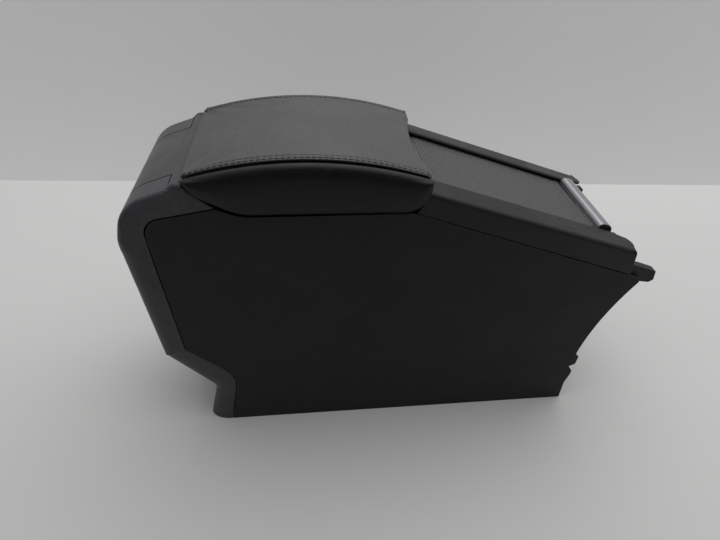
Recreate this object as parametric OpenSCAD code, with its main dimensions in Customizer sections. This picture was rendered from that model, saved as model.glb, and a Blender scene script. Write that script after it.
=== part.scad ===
// Car centre armrest: the rear section of a centre console, with a storage bin under a padded
// lid and two cup wells under a sliding ribbed shutter.
// +X points to the front of the car and +Z up. Y = 0 is the middle plane, Z = 0 the floor it
// stands on, and X = 0 lies a little behind the pad's front edge.

/* [Body] */
// Width over the two side panels
body_w = 170; // [160:1:190]
// Wall of the outer panels
panel_t = 3; // [2.4:0.1:3.6]
// Visible gap between neighbouring panels
panel_gap = 0.6; // [0.4:0.1:0.9]
// Height of the deck under the lid
deck_z = 299; // [285:1:310]
// Distance from X = 0 to the front foot of the side panels
nose_x = 208; // [195:1:215]
// Height of the kick recess at the rear
kick_h = 75; // [65:1:85]
// Wall of the inner carrier
carrier_t = 3; // [2.4:0.1:3.6]
// Room between the side panels and the inner carrier
carrier_room = 9; // [9:0.5:11]
// Gap between pieces that rest on each other
seat_gap = 0.3; // [0.2:0.05:0.5]

/* [Rear] */
// Distance from the body's side to the groove beside the centre strip
strip_side = 31; // [25:1:40]
// How far the corner rounding eats into the width at the rear
corner_y = 15; // [10:1:20]

/* [Lid] */
// Length from the hinge axis to the pad's front edge
lid_l = 230; // [220:1:240]
// Height of the pad's crown above the deck
pad_crown = 41; // [37:1:45]
// Radius of the pad's arch, seen from the side
pad_arch_r = 370; // [300:10:400]
// How far the pad's seams lie inside the body's sides
pad_inset = 5; // [4:0.5:6]
// How far the padded wings stand out from the body side
wing_out = 7; // [5:0.5:9]
// How far the wings hang below the deck
wing_drop = 14; // [10:1:18]
// Gap between a wing and the cut-out around it
wing_gap = 3.5; // [3:0.25:5]
// Height of the hinge axis above the deck
hinge_h = 15; // [14.5:0.25:16]
// Radius of the hinge pins
hinge_pin_r = 2; // [1.5:0.1:2.5]
// Radius of the rolled rear lip around the hinge axis
roll_r = 5.2; // [4.8:0.1:5.5]
// Thickness of the hinge plates
hinge_t = 3; // [2.5:0.1:3.5]
// Radial clearance of the pins in their bores
pin_play = 0.05; // [0.03:0.01:0.08]

/* [Bin] */
// Depth of the storage bin below the deck
bin_depth = 168; // [120:1:180]
// Wall of the bin and of the cup tray
bin_t = 2.5; // [2:0.1:3]
// Room between the bin's walls and the inner carrier's outside
bin_room = 7; // [5:0.5:10]
// Corner radius of the bin
bin_r = 12; // [8:1:16]

/* [Shutter] */
// Slope of the rails and the shutter, in degrees
slope = 19.1; // [18:0.1:20]
// Distance from X = 0 to the front end of the rails
rail_x = 244; // [238:1:250]
// Width of each sloping rail beside the shutter
rail_w = 30; // [30:1:36]
// Depth of the shutter below the rails
shutter_drop = 5.5; // [5:0.25:7]
// Distance between two ribs of the shutter
rib_pitch = 3.5; // [3:0.25:5]
// Height of the ribs
rib_h = 0.9; // [0.6:0.1:1.2]
// Thickness of the shutter, ribs included
curtain_t = 2.2; // [1.8:0.1:2.6]
// Radius of the bend that takes the shutter down behind the cups
bend_r = 24; // [22:0.5:26]
// Gap between each end of the pull bar and its rail
handle_play = 1.5; // [1.5:0.25:4]
// Width of the pull bar along the slope
handle_w = 17; // [16:1:24]
// Height of the pull bar above the shutter
handle_h = 9; // [7:0.5:10]
// How far the shutter slides back
travel = 165; // [120:1:170]

/* [Cup wells] */
// Radius of the cup wells
cup_r = 38; // [34:0.5:40]
// Depth of the cup wells
cup_depth = 60; // [40:1:65]
// Distance between the two cup wells
cup_pitch = 88; // [85:1:90]
// Height of the cup tray's floor plate
tray_z = 212; // [205:1:214]

/* [Feet] */
// Distance between the front and rear foot holes
foot_dx = 300; // [260:5:320]
// Distance from the inner carrier's side to its foot holes
foot_inset = 18; // [16:1:22]
// Radius of the foot holes
foot_hole_r = 4.5; // [3:0.25:5.5]

/* [Hidden] */
$fn = 64;

panel_y = body_w / 2;
panel_in = panel_y - panel_t;
carrier_y = panel_in - carrier_room;
foot_y = carrier_y - foot_inset;
bin_y = carrier_y - bin_room;
strip_y = panel_y - strip_side;
pad_side = panel_y - pad_inset;
window_y = panel_y - rail_w;
handle_l = 2 * (window_y - handle_play);
pad_front_x = 16.5;
hinge_x = pad_front_x - lid_l;
hinge_z = deck_z + hinge_h;

// Sloping planes of the rails and of the parting line below them
crease_z0 = deck_z + 8.9;
parting_z0 = deck_z - 15.6;
parting_slope = slope + 1;
parting_end_x = rail_x + 8;

function crease_z(x) = crease_z0 - x * tan(slope);
function parting_z(x) = parting_z0 - x * tan(parting_slope);

// Outline helpers: a corner is [x, z, radius], and the radius may be left out
arc_steps = 7;
function unit(v) = v / norm(v);
function point(corner) = [corner[0], corner[1]];
function wrap(a) = a > 180 ? a - 360 : a < -180 ? a + 360 : a;
function corner_arc(corner, before, after) =
  let (
    p = point(corner),
    r = len(corner) > 2 ? corner[2] : 0,
    u = unit(point(before) - p),
    v = unit(point(after) - p),
    half = acos(u * v) / 2,
    centre = p + unit(u + v) * r / sin(half),
    from = p + u * r / tan(half) - centre,
    to = p + v * r / tan(half) - centre,
    a0 = atan2(from[1], from[0]),
    sweep = wrap(atan2(to[1], to[0]) - a0)
  )
  r == 0
    ? [for (k = [0:arc_steps]) p]
    : [for (k = [0:arc_steps]) let (a = a0 + sweep * k / arc_steps) centre + r * [cos(a), sin(a)]];
function without_repeats(pts) =
  [for (i = [0:len(pts) - 1]) if (i == 0 || norm(pts[i] - pts[i - 1]) > 0.001) pts[i]];
function open_outline(corners) =
  let (last = len(corners) - 1)
  concat(
    [point(corners[0])],
    [for (i = [1:last - 1]) for (q = corner_arc(corners[i], corners[i - 1], corners[i + 1])) q],
    [point(corners[last])]
  );
function closed_outline(corners) =
  let (n = len(corners))
  without_repeats([
    for (i = [0:n - 1])
    for (q = corner_arc(corners[i], corners[(i + n - 1) % n], corners[(i + 1) % n])) q
  ]);
// Moves each corner of a clockwise outline outwards by d, and keeps its radius in step
function grown(corners, d) =
  let (n = len(corners))
  [
    for (i = [0:n - 1])
    let (
      p = point(corners[i]),
      u = unit(p - point(corners[(i + n - 1) % n])),
      v = unit(point(corners[(i + 1) % n]) - p),
      nu = [-u[1], u[0]],
      nv = [-v[1], v[0]],
      q = p + d * (nu + nv) / (1 + nu * nv),
      r = len(corners[i]) > 2 ? max(corners[i][2] + d, 0) : 0
    )
    [q[0], q[1], r]
  ];
function backwards(pts) = [for (i = [len(pts) - 1:-1:0]) pts[i]];
// A shallow curve from p to q that bulges to the left by sag
function bow(p, q, sag, steps = 12) =
  let (side = unit([p[1] - q[1], q[0] - p[0]]))
  [for (k = [0:steps]) let (t = k / steps) p + (q - p) * t + side * 4 * sag * t * (1 - t)];

// Extrudes an outline drawn in X and Z from y0 to y1
module along_y(y0, y1) translate([0, y1, 0]) rotate([90, 0, 0]) linear_extrude(y1 - y0) children();
module both_sides() {
  children();
  mirror([0, 1, 0]) children();
}
module block(x0, x1, y0, y1, z0, z1) translate([x0, y0, z0]) cube([x1 - x0, y1 - y0, z1 - z0]);
module round_block(x0, x1, y0, y1, z0, z1, r) {
  block(x0 + r, x1 - r, y0, y1, z0, z1);
  block(x0, x1, y0 + r, y1 - r, z0, z1);
  for (x = [x0 + r, x1 - r], y = [y0 + r, y1 - r]) translate([x, y, z0]) cylinder(r=r, h=z1 - z0);
}
module pin_y(x, z, y0, y1, r) translate([x, y1, z]) rotate([90, 0, 0]) cylinder(r=r, h=y1 - y0);

// Rear outlines, seen from the side: the silhouette, and the edge of the side panels that it
// faces corner by corner
rear_silhouette = [
  [hinge_x - 15.5, 0],
  [hinge_x - 3, kick_h - 27, 12],
  [hinge_x - 50, kick_h + 29, 10],
  [hinge_x - 63.5, hinge_z - 58, 60],
  [hinge_x - 51, hinge_z - 13.4, 42],
  [hinge_x - 7, hinge_z + 0.6]
];
rear_panel_edge = [
  [hinge_x + 10.5, 0],
  [hinge_x + 25.5, kick_h, 38],
  [hinge_x - 24.5, kick_h + 46, 5],
  [hinge_x - 33, hinge_z - 74, 60],
  [hinge_x - 35.5, hinge_z - 30, 18],
  [hinge_x - 7, hinge_z - 26]
];
lip_end = [hinge_x + 32.5, hinge_z - 19.6];

// Padded wings, seen from the side
pad_arch_x = hinge_x + 105;
pad_arch_z = deck_z + pad_crown - pad_arch_r;
wing_z = deck_z - wing_drop;
function arch_z(x) = pad_arch_z + sqrt(pad_arch_r ^ 2 - (x - pad_arch_x) ^ 2);
wing_rear_top = [hinge_x + 8.5, arch_z(hinge_x + 8.5)];
wing_front_top = [pad_front_x + 0.5, arch_z(pad_front_x + 0.5)];
wing_lower = [
  [pad_front_x - 12.5, wing_z, 22],
  [hinge_x + 53.5, wing_z + 3.5, 60],
  [hinge_x + 16.5, hinge_z - 5, 15],
  [wing_rear_top[0] - 1, wing_rear_top[1] - 3, 2]
];
function arch_points(x0, x1, drop, steps = 16) =
  [for (k = [0:steps]) let (x = x0 + (x1 - x0) * k / steps) [x, arch_z(x) - drop]];
// The wing's outline, made smaller by d all round
function wing_outline(d) =
  let (lower = grown(concat([[wing_front_top[0], wing_front_top[1]]], wing_lower), -d))
  concat(
    arch_points(wing_rear_top[0] + d, wing_front_top[0] - d, d),
    [for (q = without_repeats([
      for (i = [1:len(lower) - 1])
      for (p = corner_arc(lower[i], lower[i - 1], lower[(i + 1) % len(lower)])) p
    ])) q]
  );

// Side panel
cut_front = [parting_end_x - 251, parting_z(0.5) - panel_gap];
concave_top = [parting_end_x + 1.5, parting_z(parting_end_x) - 6];
concave_foot = [nose_x + 3, 77];
tab_points = [
  [nose_x + 7.5, 72], [nose_x + 6.5, 60], [nose_x - 1, 56],
  [nose_x + 5, 48], [nose_x + 4.5, 42], [nose_x + 0.5, 27]
];
panel_outline = concat(
  without_repeats(open_outline(concat(rear_panel_edge, [lip_end]))),
  without_repeats([for (q = corner_arc(
    [hinge_x + 52.5, wing_z - wing_gap + 3.5, 60], lip_end, cut_front)) q]),
  [cut_front, [parting_end_x, parting_z(parting_end_x) - panel_gap]],
  bow(concave_top, concave_foot, -6),
  tab_points,
  [[nose_x, 0]]
);
rib_t = 2;
panel_ribs_x = [-150, -80, -10, 60, 130];

module side_panel() {
  color("#1c1d1d") {
    along_y(panel_in, panel_y) polygon(panel_outline);
    intersection() {
      along_y(carrier_y, panel_in) polygon(panel_outline);
      union() {
        for (x = panel_ribs_x) block(x, x + rib_t, carrier_y, panel_in, 0, deck_z);
        block(hinge_x - 40, rail_x, carrier_y, panel_in, 0, rib_t);
        block(hinge_x - 40, rail_x, carrier_y, panel_in, kick_h + 60, kick_h + 60 + rib_t);
      }
      side_keepout();
    }
  }
}
// Room that the ribs may use: below the wings and the rail, behind the tongues
module side_keepout() {
  along_y(carrier_y - 1, panel_in + 1) polygon([
    [hinge_x - 20, 0], [hinge_x - 20, kick_h + 100], [hinge_x, wing_z - 10],
    [0, wing_z - 10], [nose_x - 6, parting_z(nose_x) - 8], [nose_x - 6, 0]
  ]);
}

// Rear cover: a U-shaped section carried along the two rear outlines
cover_steps = 6;
cover_flat = 1;
crease_r = 4;
silhouette_pts = open_outline(rear_silhouette);
edge_pts = open_outline(rear_panel_edge);
cover_rows = len(silhouette_pts);
// Share of the side that the corner rounding takes: all of it at the back, little on top
function corner_share(i) = min(1, max(0, (cover_rows - 1 - i - arc_steps) / (2 * arc_steps)));
function cover_section(i) =
  let (
    a = silhouette_pts[i],
    b = edge_pts[i],
    dir = unit(b - a),
    reach = norm(b - a) - panel_gap,
    share = corner_share(i),
    rd = crease_r + (reach - cover_flat - crease_r) * share,
    ry = crease_r + (corner_y - crease_r) * share,
    half = [for (k = [0:cover_steps]) let (t = 90 * k / cover_steps)
      [rd * (1 - sin(t)), panel_y - ry * (1 - cos(t))]],
    inner = [for (k = [0:cover_steps]) let (t = 90 * k / cover_steps)
      [panel_t + max(rd - panel_t, 1) * (1 - sin(t)), panel_in - max(ry - panel_t, 1) * (1 - cos(t))]],
    side = concat([[reach, panel_y]], half),
    hollow = concat([[reach, panel_in]], inner),
    loop = concat(
      side,
      [for (q = backwards(side)) [q[0], -q[1]]],
      [for (q = hollow) [q[0], -q[1]]],
      backwards(hollow)
    )
  )
  [for (q = loop) [a[0] + dir[0] * q[0], q[1], a[1] + dir[1] * q[0]]];
cover_loop = 4 * (cover_steps + 2);

module cover_shell() {
  rows = [for (i = [0:cover_rows - 1]) cover_section(i)];
  skin = [
    for (i = [0:cover_rows - 2])
    for (k = [0:cover_loop - 1])
    let (m = (k + 1) % cover_loop, a = i * cover_loop, b = a + cover_loop)
    for (f = [[a + k, b + k, b + m], [a + k, b + m, a + m]]) f
  ];
  last = (cover_rows - 1) * cover_loop;
  ends = [
    for (k = [0:cover_loop / 2 - 2])
    let (m = cover_loop - 1 - k)
    for (f = [
      [k, k + 1, m - 1], [k, m - 1, m],
      [last + k, last + m - 1, last + k + 1], [last + k, last + m, last + m - 1]
    ]) f
  ];
  polyhedron([for (row = rows) for (p = row) p], concat(skin, ends));
}
// Band that follows the silhouette between two depths below it
function silhouette_band(from, d0, d1) =
  let (
    n = cover_rows - 1,
    at = function(i, d) silhouette_pts[i] + unit(edge_pts[i] - silhouette_pts[i]) * d
  )
  concat(
    without_repeats([for (i = [from:n]) at(i, d0)]),
    without_repeats([for (i = [n:-1:from]) at(i, d1)])
  );
strip_row = 2 + 2 * arc_steps;
joggle_w = 6;

module rear_cover() {
  color("#242426") {
    difference() {
      cover_shell();
      along_y(-strip_y - panel_gap, strip_y + panel_gap)
        polygon(silhouette_band(strip_row - 1, -1, panel_t + 2));
    }
    both_sides() {
      along_y(strip_y - joggle_w, strip_y + joggle_w)
        polygon(silhouette_band(strip_row - 1, panel_t, 2 * panel_t));
      along_y(panel_in, panel_y) polygon([
        silhouette_pts[cover_rows - 1] - [0.5, 0],
        [hinge_x + 7, hinge_z + 1.4],
        lip_end + [-1, panel_gap],
        edge_pts[cover_rows - 1] + [-0.5, panel_gap]
      ]);
    }
  }
}
module rear_panel() {
  color("#2b2b2e") {
    along_y(-strip_y, strip_y) polygon(silhouette_band(strip_row, 0, panel_t));
    along_y(-strip_y, strip_y) polygon([
      [hinge_x - 7, hinge_z + 0.6], [hinge_x - 7, hinge_z - 12],
      [hinge_x - 6, hinge_z - 12], [hinge_x - 6, hinge_z + 0.6]
    ]);
  }
}

// Path of the shutter: down the slope it is straight, then it bends and drops behind the cups
handle_x = 206;
bend_x = pad_front_x + 8.5;
path_start = [handle_x, crease_z(handle_x) - shutter_drop];
path_dir = [-cos(slope), sin(slope)];
path_up = [sin(slope), cos(slope)];
straight_l = (handle_x - bend_x) / cos(slope);
bend_angle = 90 + slope;
bend_l = bend_r * bend_angle * PI / 180;
bend_centre = path_start + path_dir * straight_l - path_up * bend_r;
function path_point(s, off) =
  let (turn = (s - straight_l) / bend_r * 180 / PI)
  s <= straight_l ? path_start + path_dir * s + path_up * off
  : turn < bend_angle
    ? bend_centre + (bend_r + off) * [cos(90 - slope + turn), sin(90 - slope + turn)]
    : bend_centre + [-bend_r - off, bend_l + straight_l - s];
function path_band(stops, lo, hi) =
  concat([for (s = stops) path_point(s, hi)], [for (s = backwards(stops)) path_point(s, lo)]);

curtain_tail = 20;
curtain_l = straight_l + curtain_tail;
pull_strip = 7;
groove_play = 0.4;
groove_depth = 4;
track_lip = 1.6;
track_floor = 2.4;
track_play = 0.2;
track_front = -handle_w - 2;
track_end = curtain_l + travel + 5;
bend_steps = 12;
bend_stops = [for (k = [0:bend_steps]) straight_l + bend_l * k / bend_steps];
track_stops = concat([track_front], bend_stops, [track_end]);
track_y = window_y + 8;

module shutter_track() {
  color("#1a1a1a") difference() {
    along_y(window_y + track_play, track_y)
      polygon(path_band(track_stops, -curtain_t - groove_play - track_floor, track_lip));
    along_y(window_y, window_y + groove_depth + groove_play)
      polygon(path_band(concat([track_front - 1], bend_stops, [track_end + 1]),
        -curtain_t - groove_play, groove_play));
  }
}

// Ribs and web of the shutter as one strip that follows the path
rib_count = floor((curtain_l - pull_strip) / rib_pitch) - 1;
rib_tops = [
  for (i = [0:rib_count])
  let (s = pull_strip + i * rib_pitch)
  for (q = [[0, -rib_h], [0.2, 0], [0.65, 0], [0.85, -rib_h]]) path_point(s + q[0] * rib_pitch, q[1])
];
curtain_stops = concat([0, straight_l], [for (k = [1:6]) straight_l + curtain_tail * k / 6]);

module shutter_curtain() {
  strip_end = [[0, -rib_h], [0.6, 0], [pull_strip - 1.5, 0], [pull_strip - 1.2, -rib_h]];
  color("#3a3b3c") along_y(-window_y - groove_depth, window_y + groove_depth) polygon(concat(
    [for (q = strip_end) path_point(q[0], q[1])],
    rib_tops,
    [path_point(curtain_l, -rib_h)],
    [for (s = backwards(curtain_stops)) path_point(s, -curtain_t)]
  ));
}

// Pull bar: a half-round bar lying across the shutter's front edge
module on_slope() translate([path_start[0], 0, path_start[1]]) rotate([0, slope, 0]) children();
handle_section = closed_outline([
  [0.3, 0], [0.3, handle_h, handle_h * 0.65], [handle_w, handle_h, handle_h * 0.75], [handle_w, 0]
]);
cap_t = 1.5;
shoe_t = curtain_t;

module handle_bar() {
  color("#b9bcc2") on_slope() along_y(-handle_l / 2 + cap_t, handle_l / 2 - cap_t) polygon(handle_section);
}
module handle_caps() {
  color("#141414") both_sides() on_slope()
    along_y(handle_l / 2 - cap_t, handle_l / 2) polygon(handle_section);
}
module handle_shoes() {
  color("#202020") both_sides() on_slope()
    block(1, handle_w - 1, handle_l / 2 - 14, window_y + groove_depth, -shoe_t, 0);
}

// Shutter frame: two sloping rails with side skirts, a deck under the pad and a cross bar
rail_rear_x = pad_front_x - 1;
skirt_rear_x = pad_front_x - 9.5;
rail_skin = panel_t / cos(slope);
window_rear_x = pad_front_x - 3.5;
frame_rear_x = -12;
deck_t = 2;
rail_plan = [
  [frame_rear_x - 60, window_y], [handle_x + 18, window_y], [handle_x + 19.5, window_y + 4.5],
  [rail_x - 14, window_y + 5.5], [rail_x - 7, window_y + 7], [rail_x - 4, window_y + 11],
  [rail_x - 3, window_y + 16], [rail_x - 5, window_y + 22],
  [rail_x - 7, panel_y + 0.5], [frame_rear_x - 60, panel_y + 0.5]
];
module frame_side() {
  intersection() {
    along_y(window_y, panel_y) polygon([
      [rail_rear_x, crease_z(rail_rear_x)], [rail_x + 5, crease_z(rail_x + 5)],
      [rail_x + 5, crease_z(rail_x + 5) - rail_skin], [rail_rear_x, crease_z(rail_rear_x) - rail_skin]
    ]);
    linear_extrude(deck_z + 100) polygon(rail_plan);
  }
  along_y(panel_in, panel_y) polygon(closed_outline([
    [skirt_rear_x, parting_z(skirt_rear_x)],
    [rail_rear_x, crease_z(rail_rear_x) - 0.01],
    [rail_x - 5, crease_z(rail_x - 5) - 0.01, 6],
    [rail_x - 4, parting_z(rail_x - 4)]
  ]));
  block(frame_rear_x, rail_rear_x + 5, window_y, carrier_y + 2, deck_z - deck_t, deck_z);
}
bar_top = -curtain_t - groove_play - track_floor - seat_gap;
bar_t = 4;
module shutter_frame() {
  color("#3b3c3e") {
    both_sides() frame_side();
    block(frame_rear_x, window_rear_x, -window_y - 1, window_y + 1, deck_z - deck_t, deck_z);
    on_slope() block(2, handle_w - 3, -panel_in - 1, panel_in + 1, bar_top - bar_t, bar_top);
  }
}

// Inner carrier: two side walls with two cross walls, mounting feet, a front tongue and a peg
bin_front_x = -14;
bin_rear_x = hinge_x + 10.5;
wall_rear_x = bin_rear_x - 2;
tray_front_x = handle_x - 2;
deck_under = deck_z - bin_t;
carrier_top_x = (crease_z0 - rail_skin - seat_gap - deck_under) / tan(slope);
carrier_front_x = rail_x - 7;
foot_t = 4;
foot_r = 14;
tongue_y = panel_in - 2;
module carrier_wall() {
  difference() {
    carrier_sheet();
    on_slope() block(2 - seat_gap, handle_w - 3 + seat_gap, carrier_y - carrier_t - 1, carrier_y + 1,
      bar_top - bar_t - seat_gap, handle_h);
  }
}
module carrier_sheet() {
  along_y(carrier_y - carrier_t, carrier_y) polygon(closed_outline([
    [hinge_x + 17.5, 0],
    [hinge_x + 31, kick_h + 3, 30],
    [wall_rear_x - carrier_t, kick_h + 46],
    [wall_rear_x - carrier_t, deck_under],
    [carrier_top_x, deck_under],
    [carrier_front_x, crease_z(carrier_front_x) - rail_skin - seat_gap],
    [carrier_front_x, parting_z(carrier_front_x) - 4],
    [nose_x - 4, kick_h + 10, 120],
    [nose_x - 7, 0]
  ]));
}
// Hooked tongue on the right that slides into the front console, and a short peg on the left
tongue_root_z = parting_z(carrier_front_x) + 8;
module tongue() {
  along_y(carrier_y - carrier_t, tongue_y) polygon([
    [carrier_front_x - 8, tongue_root_z + 5], [carrier_front_x + 21, tongue_root_z - 5],
    [carrier_front_x + 35, tongue_root_z - 10.5], [carrier_front_x + 36, tongue_root_z - 22],
    [carrier_front_x + 31, tongue_root_z - 25], [carrier_front_x + 25, tongue_root_z - 24],
    [carrier_front_x + 15, tongue_root_z - 22], [carrier_front_x - 8, tongue_root_z - 13]
  ]);
}
module peg() {
  along_y(carrier_y - carrier_t, tongue_y) polygon([
    [carrier_front_x - 6, tongue_root_z + 12], [carrier_front_x + 13, tongue_root_z + 8],
    [carrier_front_x + 13, tongue_root_z + 4], [carrier_front_x - 6, tongue_root_z]
  ]);
}
front_wall_x = tray_front_x + 1;
wall_low = kick_h + 46;
module inner_carrier() {
  color("#18191a") difference() {
    union() {
      both_sides() {
        carrier_wall();
        for (x = [-foot_dx / 2, foot_dx / 2]) translate([x, foot_y, 0]) {
          cylinder(r=foot_r, h=foot_t);
          translate([-foot_r, 0, 0]) cube([2 * foot_r, carrier_y - foot_y - carrier_t / 2, foot_t]);
        }
      }
      mirror([0, 1, 0]) tongue();
      peg();
      block(wall_rear_x - carrier_t, wall_rear_x, -carrier_y, carrier_y, wall_low, deck_under);
      block(front_wall_x, front_wall_x + carrier_t, -carrier_y, carrier_y, wall_low, tray_z - 8);
    }
    for (x = [-foot_dx / 2, foot_dx / 2], y = [-foot_y, foot_y])
      translate([x, y, -1]) cylinder(r=foot_hole_r, h=foot_t + 2);
    for (y = screw_y) pin_x(wall_rear_x - carrier_t - 1, wall_rear_x + 1, y, screw_z, screw_r + pin_play);
  }
}

// Storage bin with a rim that rests on the carrier
bin_floor_z = deck_z - bin_depth;
rim_y = carrier_y + 2;
module storage_bin() {
  color("#151515") difference() {
    union() {
      round_block(bin_rear_x, bin_front_x, -bin_y, bin_y, bin_floor_z - bin_t, deck_z, bin_r);
      round_block(wall_rear_x - carrier_t + 0.5, bin_front_x + 1.6, -rim_y, rim_y, deck_under, deck_z, 4);
    }
    round_block(bin_rear_x + bin_t, bin_front_x - bin_t, -bin_y + bin_t, bin_y - bin_t,
      bin_floor_z, deck_z + 1, bin_r - bin_t);
  }
}
mat_t = 2;
mat_play = 1;
module bin_mat() {
  inset = bin_t + mat_play;
  color("#232323") round_block(bin_rear_x + inset, bin_front_x - inset, -bin_y + inset, bin_y - inset,
    bin_floor_z, bin_floor_z + mat_t, bin_r - inset);
}

// Cup tray: a floor plate with two wells, and walls that carry the shutter tracks
tray_rear_x = bend_centre[0] - bend_r + curtain_t + groove_play + track_floor + seat_gap;
tray_y = track_y - 1.5;
cup_x = [(tray_rear_x + tray_front_x - cup_pitch) / 2 - 4, (tray_rear_x + tray_front_x + cup_pitch) / 2 - 4];
tray_top = -curtain_t - groove_play - track_floor - seat_gap;
tray_lip_s = (handle_x - tray_front_x) / cos(slope);
tray_rear_top = bend_centre[1];
module cup_tray() {
  color("#161616") difference() {
    union() {
      along_y(-tray_y, tray_y) polygon([
        [tray_front_x, tray_z - bin_t],
        path_point(tray_lip_s, tray_top),
        path_point(straight_l - 2, tray_top),
        [bend_centre[0] - 9, bend_centre[1] + 12],
        [tray_rear_x, tray_rear_top],
        [tray_rear_x, tray_z - bin_t]
      ]);
      block(tray_rear_x, tray_front_x, carrier_t - carrier_y, carrier_y - carrier_t, tray_z - bin_t, tray_z);
      for (x = cup_x) translate([x, 0, tray_z - cup_depth - bin_t]) cylinder(r=cup_r + bin_t, h=cup_depth);
    }
    block(tray_rear_x + bin_t, tray_front_x - bin_t, -tray_y + bin_t, tray_y - bin_t, tray_z, deck_z + 20);
    for (x = cup_x) translate([x, 0, tray_z - cup_depth]) cylinder(r=cup_r, h=cup_depth + 1);
  }
}
module cup_mats() {
  color("#232323") for (x = cup_x)
    translate([x, 0, tray_z - cup_depth]) cylinder(r=cup_r - mat_play, h=mat_t);
}

// Hinge: brackets on the rear cross wall, short pins, and arms under the lid
lug_y = strip_y - 16;
lug_gap = 0.5;
arm_y = lug_y + hinge_t + lug_gap;
lug2_y = arm_y + hinge_t + lug_gap;
eye_r = hinge_pin_r + 2.5;
bracket_y0 = lug_y - 4;
bracket_y1 = lug2_y + hinge_t + 4;
bracket_t = 3;
bracket_x = wall_rear_x - carrier_t;
bracket_low = deck_z - 37;
screw_r = 2;
screw_z = bracket_low + 9;
screw_y = [for (s = [-1, 1], y = [bracket_y0 + 3.6, bracket_y1 - 3.6]) s * y];
module pin_x(x0, x1, y, z, r) translate([x0, y, z]) rotate([0, 90, 0]) cylinder(r=r, h=x1 - x0);
module lug(y) {
  along_y(y, y + hinge_t) polygon([
    [bracket_x - bracket_t, deck_z - 14], [bracket_x, deck_z - 14],
    [hinge_x + eye_r - 0.1, hinge_z], [hinge_x - eye_r + 0.1, hinge_z]
  ]);
  pin_y(hinge_x, hinge_z, y, y + hinge_t, eye_r);
}
module hinge_bracket() {
  color("#8c8f93") difference() {
    both_sides() {
      block(bracket_x - bracket_t, bracket_x, bracket_y0, bracket_y1, bracket_low, deck_z);
      lug(lug_y);
      lug(lug2_y);
    }
    both_sides() pin_y(hinge_x, hinge_z, lug_y - 1, lug2_y + hinge_t + 1, hinge_pin_r + pin_play);
    for (y = screw_y) pin_x(bracket_x - bracket_t - 1, bracket_x + 1, y, screw_z, screw_r + pin_play);
  }
}
pin_over = 0.6;
module hinge_pins() {
  color("#a9acb0") both_sides()
    pin_y(hinge_x, hinge_z, lug_y - pin_over, lug2_y + hinge_t + pin_over, hinge_pin_r);
}
head_t = 2;
module bracket_screws() {
  color("#6f7276") for (y = screw_y) {
    pin_x(bracket_x - bracket_t - head_t, bracket_x - bracket_t, y, screw_z, screw_r * 1.7);
    pin_x(bracket_x - bracket_t, wall_rear_x + 1, y, screw_z, screw_r);
  }
}

// Lid: carrier with rolled rear lip, liner, pad, wings, arms, stops
plate_low = deck_z + 12;
plate_t = 3;
plate_z = plate_low + plate_t;
liner_z = deck_z + 3.5;
liner_t = 2.5;
flange_y = pad_side - panel_t;
front_x = pad_front_x - 10.5;
slot_y0 = lug_y - 1.5;
slot_y1 = lug2_y + hinge_t + 1.5;
slot_x = hinge_x + eye_r + 4;
pull_y = 17;
plate_ribs_y = [17 - flange_y, -27, 27, flange_y - 17];
arm_tip_x = hinge_x + 52;
pocket_x = bin_front_x - 20;
module lid_flange() {
  along_y(flange_y, pad_side) polygon(closed_outline([
    [hinge_x + 13, plate_z], [front_x, plate_z], [front_x - 4, wing_z + 6, 8],
    [hinge_x + 56, wing_z + 9, 40], [hinge_x + 20, hinge_z - 3.5, 6]
  ]));
}
module lid_carrier() {
  color("#1b1b1c") difference() {
    union() {
      block(hinge_x, front_x, -flange_y - 0.01, flange_y + 0.01, plate_low, plate_z);
      pin_y(hinge_x, hinge_z, -flange_y, flange_y, roll_r);
      both_sides() lid_flange();
      block(front_x - 2.5, front_x, -flange_y - 0.01, flange_y + 0.01, liner_z + 2, plate_z);
      for (y = plate_ribs_y)
        block(arm_tip_x + 2, front_x - 2.5, y, y + rib_t, liner_z + liner_t, plate_low + 0.01);
      for (y = [latch_ear_y, -latch_ear_y - hinge_t])
        along_y(y, y + hinge_t) polygon([
          [latch_x - 6, plate_low + 0.01], [latch_x + 6, plate_low + 0.01],
          [latch_x + 3.4, latch_z - 3.4], [latch_x - 3.4, latch_z - 3.4]
        ]);
    }
    both_sides() block(hinge_x - roll_r - 1, slot_x, slot_y0, slot_y1, hinge_z - 10, hinge_z + 10);
    block(front_x - 3, front_x + 1, -pull_y, pull_y, liner_z, pull_top);
    pin_y(latch_x, latch_z, -latch_ear_y - hinge_t - 1, latch_ear_y + hinge_t + 1, latch_pin_r + pin_play);
    for (y = arm_screw_y)
      translate([arm_screw_x, y, plate_low - 1]) cylinder(r=screw_r + pin_play, h=plate_t + 2);
  }
}
liner_front_x = front_x - 3;
liner_y = flange_y - 3;
module lid_liner() {
  color("#1f1f20") difference() {
    round_block(hinge_x + 10.5, liner_front_x, -liner_y, liner_y, liner_z, liner_z + liner_t, 8);
    block(pocket_x, front_x, -pocket_y, pocket_y, liner_z - 1, liner_z + liner_t + 1);
  }
}
pad_rear_x = hinge_x + 0.5;
roll_top = hinge_z + roll_r;
scoop_r = 260;
scoop_in = 7;
pull_top = deck_z + 10;
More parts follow.
